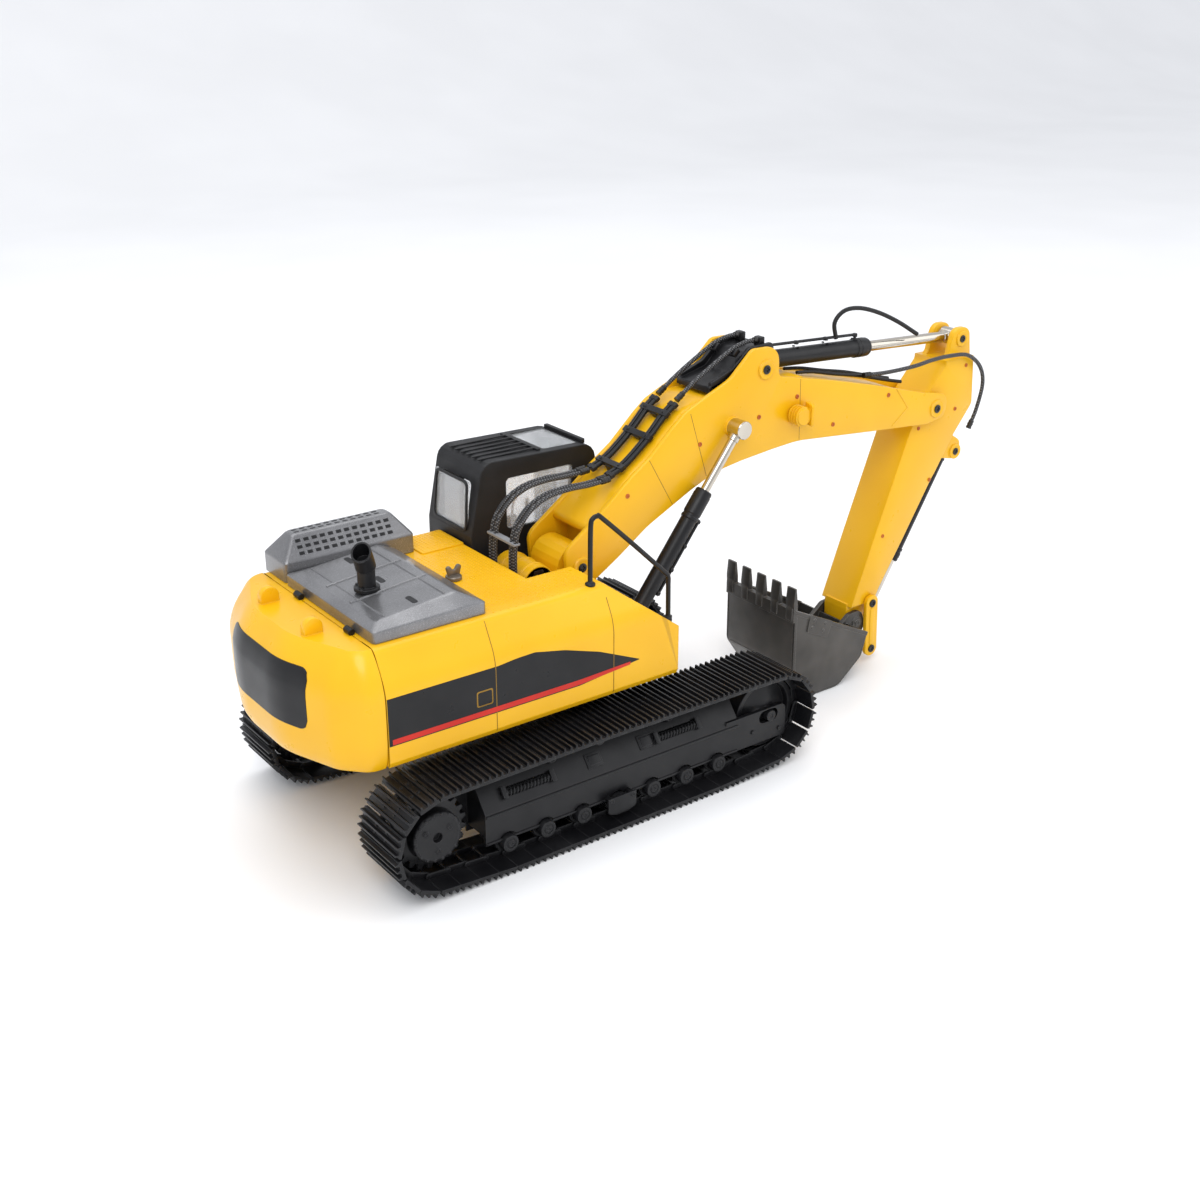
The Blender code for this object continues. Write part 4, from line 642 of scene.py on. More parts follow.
# Toothed rim, domed cover with a ring of rivets, three screws and a hollow centre.
def buildSprocket(word, side):
    s = sprocket
    centre = np.array([s["x"], s["z"]])
    turn = np.linspace(0, 2 * np.pi, s["teeth"] * 12, endpoint=False)
    share = (turn * s["teeth"] / (2 * np.pi)) % 1.0
    lift = np.clip((0.25 - np.abs(share - 0.5)) / 0.14 + 0.5, 0, 1)
    reach = s["root"] + (s["tip"] - s["root"]) * lift
    teeth = centre + np.stack([reach * np.cos(turn), reach * np.sin(turn)], axis=1)
    axis = (0, side, 0)
    origin = (s["x"], 0, s["z"])
    face = s["face"]
    parts = [slab(teeth, *sorted((side * 72.0, side * 81.0)), "y", 0.4)]
    parts.append(turned(
        [(15.2, 80.5), (15.2, face - 2.4), (14.7, face - 1.7), (13.2, face - 1.2), (12.8, face - 1.4), (3.0, face - 1.4), (2.8, face - 4.5), (0, face - 4.5)],
        origin, axis, 72))
    rivet = turned([(0.95, -0.4), (0.95, 0.25), (0.6, 0.6), (0, 0.65)], (0, 0, 0), (0, 0, 1), 12)
    for k in range(18):
        a = 2 * np.pi * k / 18
        place = (s["x"] + 14.0 * np.cos(a), side * (face - 1.5), s["z"] + 14.0 * np.sin(a))
        parts.append(placed(rivet, place, axis))
    for k in range(3):
        a = 2 * np.pi * (k / 3 + 0.08)
        place = (s["x"] + 8.4 * np.cos(a), side * (face - 1.4), s["z"] + 8.4 * np.sin(a))
        parts.append(placed(crossScrew(1.7, 0.8, 0.4), place, axis))
    assemble(f"sprocket_{word}_geared", parts, "black", f"sprocket_{word}", (f"sprocket_{word}",))


buildWheels()

trackFrame = {"springs": ((-79.0, -43.0), (29.0, 64.0)), "hatches": (-20.0, 18.0), "rings": (-41.6, 44.0), "coils": 13}


# Recoil springs, hatch covers, tie-down rings and the middle roller guard on each track frame.
def buildFrameDetails():
    normal = np.array([0.786, 0.618])
    slope = np.array([-0.618, 0.786])
    base = np.array([88.0, 37.5])
    for word, side in (("right", -1), ("left", 1)):
        parts = []
        for low, high in trackFrame["springs"]:
            middle = base + slope * 8.5 + normal * 0.6
            turn = np.linspace(0, 2 * np.pi * trackFrame["coils"], trackFrame["coils"] * 18)
            x = np.linspace(low + 3, high - 3, len(turn))
            path = np.stack([x, side * (middle[0] + 2.4 * np.cos(turn)), middle[1] + 2.4 * np.sin(turn)], axis=1)
            parts.append(tube(path, 0.55, 7, (1.0, 0.0, 0.0)))
            parts.append(turned([(1.1, low), (1.1, high)], (0, side * middle[0], middle[1]), (1, 0, 0), 16))
            for x0, x1 in ((low, low + 3.2), (high - 3.2, high)):
                box = np.array([middle + slope * a + normal * b for a, b in ((-3.6, -2.0), (3.6, -2.0), (3.6, 2.4), (-3.6, 2.4))])
                parts.append(slab(box * (side, 1), x0, x1, "x", 0.5))
        for x0 in trackFrame["hatches"]:
            for grow, lift in ((0.0, 0.7), (-1.6, 1.3)):
                box = np.array([
                    base + slope * a + normal * b
                    for a, b in ((4.6 - grow, -0.6), (13.2 + grow, -0.6), (13.2 + grow, lift), (4.6 - grow, lift))
                ])
                parts.append(slab(box * (side, 1), x0 - grow, x0 + 11.0 + grow, "x", 0.3))
        for x0 in trackFrame["rings"]:
            a = np.linspace(0, 2 * np.pi, 33)
            loop = np.stack([x0 + 3.0 * np.cos(a), 0 * a + side * 79.5, 54.0 + 3.0 * np.sin(a)], axis=1)
            parts.append(tube(loop, 0.75, 10))
            rodPath = [(x0 - 20, side * 78.6, 51.9), (x0 - 8, side * 78.9, 51.9), (x0 - 3.2, side * 79.5, 53.0)]
            parts.append(tube(smoothRoute(rodPath, 14), 0.75, 10))
        guard = rounded([(-11.5, 21.5, 0), (-11.5, 11.5, 2.5), (-5.5, 9.6, 1.5), (3.0, 9.6, 1.5), (9.0, 11.5, 2.5), (9.0, 21.5, 0)])
        parts.append(slab(guard, *sorted((side * 91.8, side * 93.4)), "y", 0.4))
        for x in (-9.0, 6.5):
            parts.append(slab(disc((x, 19.5), 1.9, 20), *sorted((side * 87.5, side * 92.4)), "y", 0.3))
            parts.append(placed(crossScrew(1.5, 0.7, 0.4), (x, side * 93.4, 19.5), (0, side, 0)))
        nose = (118.5, side * 88.0, 34.9)
        parts.append(placed(hexHead(1.5, 1.0), (nose[0] - 14, nose[1], 27.0), (0, side, 0)))
        parts.append(placed(hexHead(1.5, 1.0), (nose[0] + 8, nose[1], 23.5), (0, side, 0)))
        # two long ribs along the frame's lower edge
        for z in (18.6, 35.6):
            rib = [(-92.0, z - 0.7), (92.0, z - 0.7), (92.0, z + 0.7), (-92.0, z + 0.7)]
            parts.append(slab(rib, *sorted((side * 87.6, side * 88.7)), "y", 0.35))
        assemble(f"track_frame_{word}_details", parts, "black", "undercarriage")


buildFrameDetails()
print("running gear made")


# ---- house
house = {
    "tail": -143.6, "front": 52.0, "bottom": 79.0, "deck": 144.6, "half": 77.0, "deckHalf": 66.0, "cabRear": -25.2, "cabFloor": 99.0,
    "rampTop": (5.1, 144.6), "rampFoot": (52.0, 110.0), "proud": 0.12, "sunk": 0.5,
}


# Side of the house from its sill over the shoulder to the deck, as (y, z) points.
def houseSide(grow):
    h = house
    points = rounded([
        (h["deckHalf"] - 12.0, h["deck"], 0), (h["deckHalf"], h["deck"], 6.0), (h["half"], 124.0, 30.0),
        (h["half"], h["bottom"] + 3.0, 1.2), (h["half"] - 1.5, h["bottom"], 0), (h["half"] - 3.5, h["bottom"], 0),
    ], 14)
    edge = unit(np.gradient(points, axis=0))
    return points + grow * np.stack([-edge[:, 1], edge[:, 0]], axis=1)


# x where the side ends at a height: the ramp's slope on the right, the cab's rear wall on the left.
def sideEnd(height, side):
    h = house
    if side < 0:
        slope = (h["rampFoot"][0] - h["rampTop"][0]) / (h["rampTop"][1] - h["rampFoot"][1])
        return np.clip(h["rampTop"][0] + (h["rampTop"][1] - height) * slope, h["rampTop"][0], h["front"])
    return np.where(height > h["cabFloor"], h["cabRear"], h["front"])


def buildHouseSides():
    parts = []
    outer = houseSide(house["proud"])
    band = np.concatenate([outer, houseSide(-house["sunk"])[::-1]])
    share = np.array([0.0, 0.002, 0.5, 0.998, 1.0])[:, None]
    for side in (-1, 1):
        end = sideEnd(band[:, 1], side)[None]
        x = house["tail"] + 0.3 + share * (end - house["tail"] - 0.3)
        rings = np.stack([x, np.broadcast_to(side * band[:, 0], x.shape), np.broadcast_to(band[:, 1], x.shape)], axis=-1)
        parts.append(loft(rings))
    assemble("house_sides", parts, "yellow", "house")


# Half width of the side at a height, read off its own outline.
def sideReach(height):
    outline = houseSide(house["proud"])[::-1]
    return np.interp(height, outline[:, 1], outline[:, 0])


# Thin strip laid on the side between two heights that change along x.
def sideStrip(x, low, high, side, thick=0.12, rows=10):
    share = np.linspace(0, 1, rows)[None]
    z = low[:, None] + (high - low)[:, None] * share
    reach = sideReach(z)
    columns = np.broadcast_to(x[:, None], z.shape)
    return sheetSolid(
        np.stack([columns, side * (reach + thick), z], axis=-1), np.stack([columns, side * (reach - 0.3), z], axis=-1))


decal = {"rear": -143.0, "low": 92.0, "tip": 22.5, "top": ((-143, 119.7), (-74, 119.7), (-62, 120.8), (-50, 121.1), (-30, 117), (-6, 109.3), (22.5, 96.9))}


def buildDecals():
    top = np.array(decal["top"], float)
    for side, word, last in ((-1, "right", decal["tip"]), (1, "left", -26.5)):
        x = np.linspace(decal["rear"], last, 90)
        low = decal["low"] + 4.6 * np.clip((x + 20) / 42.5, 0, 1)
        high = np.interp(x, top[:, 0], top[:, 1])
        assemble(f"side_decal_{word}", [sideStrip(x, low, np.maximum(high, low + 0.15), side)], "decal", "house")
        x = np.linspace(decal["rear"] + 2, min(16.0, last), 60)
        low = 92.6 + 2.6 * np.clip((x + 20) / 36, 0, 1)
        wide = 3.1 - 1.3 * np.clip((x + 20) / 36, 0, 1)
        stripe = sideStrip(x, low, low + wide, side, 0.2, 4)
        assemble(f"side_stripe_{word}", [stripe], "red", "house")


# Vertical panel seams, the latch recess and the step's foot line on the sides.
def buildHouseSeams():
    parts = []
    for side, places in ((-1, (-76.0, 4.0)), (1, (-76.0, -58.0))):
        for x in places:
            columns = np.array([x - 0.22, x + 0.22])
            seam = sideStrip(columns, np.full(2, 80.5), np.full(2, 143.2 if x < 0 else 138.0), side, 0.16, 40)
            parts.append(seam)
    for side in (-1, 1):
        x0, x1 = (-88.7, -78.2)
        frameLine = [(x0, 98.5), (x1, 98.5), (x1, 108.0), (x0, 108.0)]
        inner = rounded([(a, b, 1.2) for a, b in frameLine], 4)
        parts.append(slab(inner, *sorted((side * 76.6, side * 77.32)), "y", 0.1))
    assemble("house_seams", parts, "groove", "house")
    lid = []
    for side in (-1, 1):
        inner = rounded([(-87.9, 99.3, 1.0), (-79.0, 99.3, 1.0), (-79.0, 107.2, 1.0), (-87.9, 107.2, 1.0)], 4)
        lid.append(slab(inner, *sorted((side * 76.7, side * 77.5)), "y", 0.15))
    assemble("side_access_lids", lid, "black", "house")


def dotField(x0, x1, y0, y1, pitch, keep=None):
    row = np.arange(x0, x1, pitch)
    column = np.arange(y0, y1, pitch)
    x, y = np.meshgrid(row, column, indexing="ij")
    y = y + 0.5 * pitch * (np.arange(len(row))[:, None] % 2)
    inside = (y < y1) & (keep(x, y) if keep else True)
    return x[inside], y[inside]


# Low dome: radius and height follow a quarter circle.
def domeDot(radius, height):
    return turned([(radius, -0.3), (radius, 0.0), (radius * 0.87, height * 0.5), (radius * 0.5, height * 0.87), (0.0, height)],
                  (0, 0, 0), (0, 0, 1), 10)


def buildDeckDots():
    parts = []
    flatTurns = np.eye(3)
    dot = domeDot(0.62, 0.34)

    def open_(x, y):
        around = (np.hypot(x + 60.0, y + 9.3) > 7.0) & ~((x < -55.0) & (y > 39.0))
        return around & ~((x > -26.5) & (y > -33.0))

    x, y = dotField(-67.5, -1.0, -63.0, 32.0, 2.45, open_)
    places = np.stack([x, y, np.full(len(x), house["deck"])], axis=1)
    parts.append(repeated(dot, np.broadcast_to(flatTurns, (len(x), 3, 3)), places))
    x, y = dotField(-52.5, -27.5, 36.0, 62.0, 2.45)
    places = np.stack([x, y, np.full(len(x), house["deck"] + 1.0)], axis=1)
    parts.append(repeated(dot, np.broadcast_to(flatTurns, (len(x), 3, 3)), places))
    run = np.array([46.9, 0.0, -34.6])
    along = unit(run)
    normal = np.array([-along[2], 0.0, along[0]])
    turn = np.stack([along, [0.0, 1.0, 0.0], normal])
    u, y = dotField(4.0, 55.0, -61.0, -35.0, 3.1)
    places = np.array([5.1, 0.0, 144.6]) + u[:, None] * along + y[:, None] * np.array([0.0, 1.0, 0.0])
    coarse = domeDot(0.85, 0.42)
    parts.append(repeated(coarse, np.broadcast_to(turn, (len(u), 3, 3)), places))
    assemble("deck_dots", parts, "yellow", "house")
    step = slab(rounded([(-55.0, 34.5, 1.5), (-25.6, 34.5, 1.5), (-25.6, 63.5, 1.5), (-55.0, 63.5, 1.5)], 5), 143.8, 145.6, "z", 0.5)
    assemble("deck_step", [step], "yellow", "house")


# An open line's points, evenly spaced in length.
def evenly(points, count):
    run = np.concatenate([[0], np.cumsum(np.linalg.norm(np.diff(points, axis=0), axis=1))])
    at = np.linspace(0, run[-1], count)
    return np.stack([np.interp(at, run, points[:, k]) for k in range(points.shape[1])], axis=1)


# Tail outline (x, y), bowed at the rear, drawn in by a distance.
def tailOutline(back, steps=12, count=180):
    wide = 77.0 - back
    rear = 181.5 - back
    return evenly(rounded([
        (-143.9, -wide, 0), (-152.5, -wide, 12), (13.0 - rear, -62.0 + back * 0.6, 20), (-rear, -24.0, 60),
        (-rear, 24.0, 60), (13.0 - rear, 62.0 - back * 0.6, 20), (-152.5, wide, 12), (-143.9, wide, 0),
    ], steps), count)


def buildCounterweight():
    share = np.array([0.0, 0.02, 0.05, 0.10, 0.22, 0.40, 0.60, 0.66, 0.72, 0.77, 0.82, 0.865, 0.91, 0.94, 0.97, 0.988, 1.0])
    known = ((0.0, 3.4), (0.07, 1.4), (0.22, 0.2), (0.60, 0.0), (0.72, 1.2), (0.82, 3.6), (0.91, 7.0), (0.97, 10.0), (1.0, 12.0))
    route = smoothRoute([(a * 40, b) for a, b in known], 160)
    back = np.interp(share * 40, route[:, 0], route[:, 1])
    rings = []
    for level, depth in zip(share, back):
        outline = tailOutline(max(depth, 0.0))
        rings.append(np.column_stack([outline, np.full(len(outline), 78.2 + 66.4 * level)]))
    parts = [loft(np.stack(rings))]
    for y in (-28.0, 24.5):
        lug = rounded([(-164.5, 140.0, 0), (-153.5, 140.0, 0), (-153.5, 153.6, 5.4), (-164.5, 153.6, 5.4)], 12)
        parts.append(slab(lug, y - 2.5, y + 2.5, "y", 0.5))
    assemble("counterweight_cast", parts, "yellow", "house", ("counterweight",))
    plate = []
    for grow, out in ((0.0, 0.25),):
        y = np.linspace(-46 + grow, 38 - grow, 50)
        z = np.linspace(98, 133, 24)
        corner = 6.0
        across = np.clip(np.minimum(y + 46, 38 - y) / corner, 0, 1)
        trim = corner * (1 - np.sqrt(np.clip(1 - (1 - across) ** 2, 0, 1)))
        low = 98 + trim
        high = 133 - trim
        share2 = np.linspace(0, 1, 24)[None]
        zz = low[:, None] + (high - low)[:, None] * share2
        reach = tailReach(zz, np.broadcast_to(y[:, None], zz.shape), share, back)
        outer = np.stack([-(reach + out), np.broadcast_to(y[:, None], zz.shape), zz], axis=-1)
        inner = outer + (0.8, 0.0, 0.0)
        plate.append(sheetSolid(outer, inner))
    assemble("rear_plate", plate, "decal", "house")


# Distance of the tail's rear face behind the slew axis at (y, z): the level's outline read at y.
def tailReach(z, y, share, back):
    depth = np.interp((z - 78.2) / 66.4, share, np.maximum(back, 0.0))
    outline = tailOutline(0.0, 40)
    rear = outline[(outline[:, 0] < -160)]
    order = np.argsort(rear[:, 1])
    return -np.interp(y, rear[order, 1], rear[order, 0]) - depth


buildHouseSides()
buildDecals()
buildHouseSeams()
buildDeckDots()
buildCounterweight()
print("house made")

hood = {
    "rear": -140.8, "front": -71.0, "right": -62.0, "left": 40.0, "low": 144.9, "wall": 6.5, "rearHeight": 9.2, "frontHeight": 14.4,
    "insets": (5.8, 14.9, 8.0), "shell": 2.2,
}


# Cover with upright walls and slopes in to a top face, each ring a rounded rectangle with eased edges.
def coverRings(box, grow=0.0, corner=2.5):
    rear, front, side = box["insets"]
    lowX, highX, lowY, highY = box["rear"] - grow, box["front"] + grow, box["right"] - grow, box["left"] + grow
    base = rounded([(lowX, lowY, corner), (highX, lowY, corner), (highX, highY, corner), (lowX, highY, corner)], 7)
    topCorners = [(lowX + rear, lowY + side), (highX - front, lowY + side), (highX - front, highY - side), (lowX + rear, highY - side)]
    top = rounded([(*place, corner) for place in topCorners], 7)
    share = (top[:, 0] - topCorners[0][0]) / (topCorners[1][0] - topCorners[0][0])
    topHeight = box["rearHeight"] + share * (box["frontHeight"] - box["rearHeight"]) + grow
    wallRing = np.column_stack([base, np.full(len(base), float(box["wall"]))])
    topRing = np.column_stack([top, topHeight])
    middle = topRing.mean(axis=0)
    rings = [np.column_stack([base, np.zeros(len(base))]), wallRing - (0, 0, 1.0)]
    for t, lift in ((0.0, -0.28), (0.06, 0.0), (0.12, 0.0), (0.88, 0.0), (0.94, -0.05)):
        rings.append(wallRing + (topRing - wallRing) * t + (0, 0, lift))
    for t in (0.02, 0.05, 0.09):
        rings.append(topRing + (middle - topRing) * t - (0, 0, 0.30 - 0.30 * min(1, (t / 0.09) ** 0.5)))
    rings = np.stack(rings)
    inward = topRing + (middle - topRing) * 0.09
    slope = (box["frontHeight"] - box["rearHeight"]) / (topCorners[1][0] - topCorners[0][0])
    rings[-1][:, 2] = box["rearHeight"] + (inward[:, 0] - topCorners[0][0]) * slope + grow
    return rings + (0, 0, box["low"])


def hoodTop(x):
    rear = hood["rear"] + hood["insets"][0]
    front = hood["front"] - hood["insets"][1]
    share = (x - rear) / (front - rear)
    return hood["low"] + hood["rearHeight"] + share * (hood["frontHeight"] - hood["rearHeight"])


def buildHood():
    outer = coverRings(hood)
    inner = coverRings(hood, -hood["shell"], 1.0)
    inner[0][:, 2] = hood["low"]
    cover = loft(np.concatenate([inner[::-1], outer]), False, True)
    parts = [cover]
    y = np.linspace(hood["right"] + 9.5, hood["left"] - 9.5, 4)
    for middle in (y[1], y[2]):
        x = np.linspace(-134.0, -87.0, 30)
        path = np.stack([x, np.full(30, middle), hoodTop(x) + 0.1], axis=1)
        parts.append(tube(path, 0.75, 12))
    for x in (-129.0, -92.0):
        path = np.array([[x, yy, hoodTop(x) + 0.05] for yy in np.linspace(hood["right"] + 9.0, hood["left"] - 9.0, 20)])
        parts.append(tube(path, 0.55, 10, (1.0, 0.0, 0.0)))
    assemble("engine_hood_shell", parts, "silver", "hood", ("engine_hood",))
    dark = []
    for middle in (-46.0, -11.0, 24.0):
        slot = rounded([(-110.0, middle - 5, 1.6), (-106.6, middle - 5, 1.6), (-106.6, middle + 5, 1.6), (-110.0, middle + 5, 1.6)], 6)
        ring = np.column_stack([slot, hoodTop(slot[:, 0])])
        rings = np.stack([ring - (0, 0, 0.5), ring + (0, 0, 0.12)])
        dark.append(loft(rings))
    assemble("hood_slots", dark, "black", "hood")
    knuckle = [(1.8, -3.3), (2.0, -3.0), (2.0, 3.0), (1.8, 3.3)]
    hinges = [turned(knuckle, (-143.6, y, 146.2), yAxis, 24) for y in (18.5, -40.5)]
    assemble("hood_hinges", hinges, "black", "house")


louvre = {
    "rear": -140.5, "front": -56.0, "right": 41.1, "left": 69.0, "low": 144.9, "wall": 11.5, "rearHeight": 24.5, "frontHeight": 24.5,
    "insets": (10.0, 10.0, 9.5),
}


# Box cover with rows of slots on its right slope and its top.
def buildLouvres():
    assemble("louvre_cover", [loft(coverRings(louvre))], "silver", "house", ("louvre_box",))
    dark = []
    slopeLow = np.array([louvre["right"], louvre["low"] + louvre["wall"]])
    slopeHigh = np.array([louvre["right"] + louvre["insets"][2], louvre["low"] + louvre["rearHeight"]])
    along = unit(slopeHigh - slopeLow)
    normal = np.array([-along[1], along[0]])
    for row in range(3):
        middle = slopeLow + (slopeHigh - slopeLow) * (0.26 + 0.24 * row)
        for x in np.arange(-128.0, -67.0, 5.2):
            box = np.array([middle + along * a + normal * b for a, b in ((-1.0, -0.6), (1.0, -0.6), (1.0, 0.1), (-1.0, 0.1))])
            dark.append(slab(box, x - 1.7, x + 1.7, "x", 0.15))
    top = louvre["low"] + louvre["rearHeight"]
    for y in (53.5, 57.0):
        for x in np.arange(-126.0, -69.0, 5.2):
            slot = [(x - 1.7, y - 0.9), (x + 1.7, y - 0.9), (x + 1.7, y + 0.9), (x - 1.7, y + 0.9)]
            dark.append(slab(rounded([(*c, 0.6) for c in slot], 3), top - 0.6, top + 0.1, "z", 0.1))
    assemble("louvre_slots", dark, "black", "house")


# Flange with bolts, ringed pipe and a slanted open scoop.
def buildExhaust():
    x, y = -120.3, -18.7
    low = hoodTop(x + 7.2) + 0.3
    parts = [
        turned([(0, 0), (7.2, 0), (7.2, 1.7), (6.9, 2.0), (5.2, 2.0), (5.0, 2.3), (5.0, 12.6), (5.6, 12.8), (5.6, 14.2), (5.2, 14.6), (0, 14.6)],
               (x, y, low), (0, 0, 1), 48),
    ]
    for k in range(4):
        a = np.pi / 2 * k + 0.6
        parts.append(placed(hexHead(0.9, 0.8), (x + 6.1 * np.cos(a), y + 6.1 * np.sin(a), low + 2.0)))
    lean = unit((-3.2, -2.8, 11.5))
    start = np.array([x, y, low + 13.0])
    path = start + np.linspace(0, 1, 12)[:, None] * lean * 11.0 + np.linspace(0, 1, 12)[:, None] ** 2 * np.array([-1.2, -1.0, 0])
    outer = tube(path, 5.7, 40)[0].reshape(12, 40, 3)
    inner = tube(path, 4.7, 40)[0].reshape(12, 40, 3)
    cut = 0.35 * (outer[-1] - path[-1]) @ np.array([0.75, 0.66, 0])
    outer[-1] += lean * cut[:, None]
    inner[-1] = inner[-1] + lean * cut[:, None]
    parts.append(loft(np.concatenate([outer, inner[::-1][:8]])))
    assemble("exhaust_turned", parts, "black", "hood", ("exhaust_stack",))


# Butterfly turn: a round foot and two raised wings.
def buildLatch():
    x, y = -60.0, -9.3
    parts = [turned([(0, 0.3), (4.8, 0.3), (4.8, 1.9), (4.4, 2.5), (3.0, 2.8), (0, 2.8)], (x, y, 144.6), (0, 0, 1), 40)]
    wings = rounded([
        (x - 3.4, 146.6, 0), (x + 3.4, 146.6, 0), (x + 5.2, 152.8, 1.4), (x + 2.6, 153.4, 1.0), (x, 149.6, 1.4),
        (x - 2.6, 153.4, 1.0), (x - 5.2, 152.8, 1.4),
    ], 6)
    parts.append(slab(wings, y - 1.0, y + 1.0, "y", 0.4))
    assemble("hood_latch_wings", parts, "latchGrey", "latch", ("hood_latch",))


buildHood()
buildLouvres()
buildExhaust()
buildLatch()
print("engine covers made")


# ---- boom
boom = {
    "outline": (
        (12.0, 124.0, 11.0), (30.0, 124.0, 8.0), (50.0, 136.2, 0), (72.0, 151.1, 60), (105.5, 167.3, 90), (125.6, 175.5, 70),
        (146.7, 178.7, 90), (173.4, 181.4, 0), (194.9, 182.9, 90), (267.8, 176.4, 0), (318.0, 172.2, 6.0), (336.0, 175.0, 8.0),
        (336.5, 191.0, 8.0), (312.0, 195.5, 8.0), (263.8, 208.7, 60), (223.2, 218.6, 40), (176.0, 228.8, 4.0), (175.0, 248.6, 10.5),
        (153.5, 249.2, 7.0), (136.0, 233.1, 20), (111.2, 222.6, 12), (101.0, 218.0, 12), (92.0, 211.0, 20), (73.5, 194.2, 20),
        (59.2, 184.5, 20), (36.0, 166.5, 30), (10.0, 148.0, 10),
    ),
    "half": 21.0, "cheek": 3.4,
}


def clipped(outline, keep):
    return np.array([point for point in outline if keep(point)])


def buildBoom():
    outline = rounded(boom["outline"], 9)
    half, cheek = boom["half"], boom["cheek"]
    parts = []
    for side in (-1, 1):
        parts.append(slab(outline, *sorted((side * (half - cheek), side * half)), "y", 0.6))
    middle = rounded([
        (39.5, 131.0, 1), (50.0, 137.4, 0), (72.0, 152.3, 60), (105.5, 168.5, 90), (125.6, 176.7, 70), (146.7, 179.9, 90),
        (173.4, 182.6, 0), (194.9, 184.1, 90), (267.8, 177.6, 0), (291.5, 175.6, 0), (291.5, 200.1, 0), (263.8, 207.5, 60),
        (223.2, 217.4, 40), (199.0, 222.6, 0), (199.0, 224.4, 0), (113.5, 222.4, 0), (101.0, 216.8, 12), (92.0, 209.8, 20), (73.5, 193.0, 20),
        (59.2, 183.3, 20), (36.0, 165.3, 30), (20.0, 153.6, 4), (39.5, 153.4, 2),
    ], 7)
    parts.append(slab(middle, -half + cheek - 0.5, half - cheek + 0.5, "y", 0.1))
    ring = turned([(3.8, 0), (6.4, 0), (6.4, 1.0), (6.0, 1.5), (4.4, 1.5), (3.8, 1.2)], (0, 0, 0), (0, 0, 1), 40)
    for x, z, out in ((22.0, 136.0, 21.0), (164.3, 235.0, 21.0), (326.0, 182.0, 21.0)):
        for side in (-1, 1):
            parts.append(placed(ring, (x, side * (out - 0.4), z), (0, side, 0)))
            parts.append(placed(turned([(3.9, -2), (3.9, 0.6), (3.5, 1.0), (0, 1.0)], (0, 0, 0), (0, 0, 1), 40),
                                (x, side * (out - 0.4), z), (0, side, 0)))
    for side in (-1, 1):
        parts.append(turned([(6.6, 20.5), (6.4, 21.2), (6.2, 22.2), (6.2, 21.2 + 1.2), (5.6, 22.9), (0, 22.9)],
                            (137.8, 0, 203.0), (0, side, 0), 40))
        seam = rounded([(283.0, 177.0, 0), (297.0, 188.0, 0), (285.0, 203.0, 0), (284.2, 202.6, 0), (296.0, 188.0, 0), (282.2, 177.3, 0)], 1)
        parts.append(slab(seam, *sorted((side * 20.6, side * 21.35)), "y", 0.1))
    assemble("boom_shell", parts, "yellow", "boom", ("boom",))
    lines = []
    for first, second in (((72.6, 193.2), (91.1, 161.4)), ((194.6, 224.0), (195.9, 183.6)), ((104.0, 216.8), (118.0, 174.2))):
        for side in (-1, 1):
            direction = unit(np.subtract(second, first))
            across = np.array([-direction[1], direction[0]]) * 0.2
            strip = [np.add(first, across), np.subtract(first, across), np.subtract(second, across), np.add(second, across)]
            lines.append(slab(strip, *sorted((side * 20.7, side * 21.06)), "y", 0.02))
    assemble("boom_seams", lines, "groove", "boom")
    screws = []
    for x, z in ((56.1, 174.1), (192.2, 213.0), (276.8, 199.9), (225.9, 188.5), (160.0, 205.0), (112.0, 196.0)):
        for side in (-1, 1):
            screws.append(placed(crossScrew(1.5, 0.6, 0.35), (x, side * 21.0, z), (0, side, 0)))
    assemble("boom_screws", screws, "orange", "boom")
    bolts = []
    for x, z in ((22.0, 136.0), (164.3, 235.0), (326.0, 182.0)):
        for side in (-1, 1):
            bolts.append(placed(crossScrew(2.9, 1.2, 0.7), (x, side * 21.5, z), (0, side, 0)))
    assemble("boom_bolts", bolts, "steel", "boom")


# Ribbed round lamp with a slanted lens plate on the boom's right side.
def buildLamp():
    x, z, near = 190.0, 202.0, -21.4
    profile = [(0, 0), (5.6, 0)]
    for k in range(4):
        along = 1.2 + 2.2 * k
        profile += [(5.6, along), (6.6, along + 0.3), (6.6, along + 1.1), (5.6, along + 1.4)]
    profile += [(5.6, 9.6), (5.2, 10.0), (0, 10.0)]
    parts = [turned(profile, (x, near, z), (0, -1, 0), 48)]
    lens = rounded([(-5.6, -7.0, 1.2), (5.6, -7.0, 1.2), (5.6, 7.0, 1.2), (-5.6, 7.0, 1.2)], 5)
    plate = slab(lens, 0.0, 2.4, "z", 0.5)
    parts.append(placed(plate, (x + 6.5, near - 6.0, z), (0.94, -0.34, 0.0), (0, 0, 1)))
    parts.append(placed(slab(lens * 0.62, -0.2, 4.6, "z", 0.5), (x + 3.0, near - 5.0, z), (0.94, -0.34, 0.0), (0, 0, 1)))
    assemble("boom_lamp_ribbed", parts, "yellow", "boom", ("boom_lamp",))


pipes = {
    "route": ((50, 184.5), (62, 189.5), (74, 198.2), (83, 206), (92, 214.8), (101, 221.5)), "sides": (-10.8, -7.2, 7.2, 10.8),
    "radius": 1.5,
}


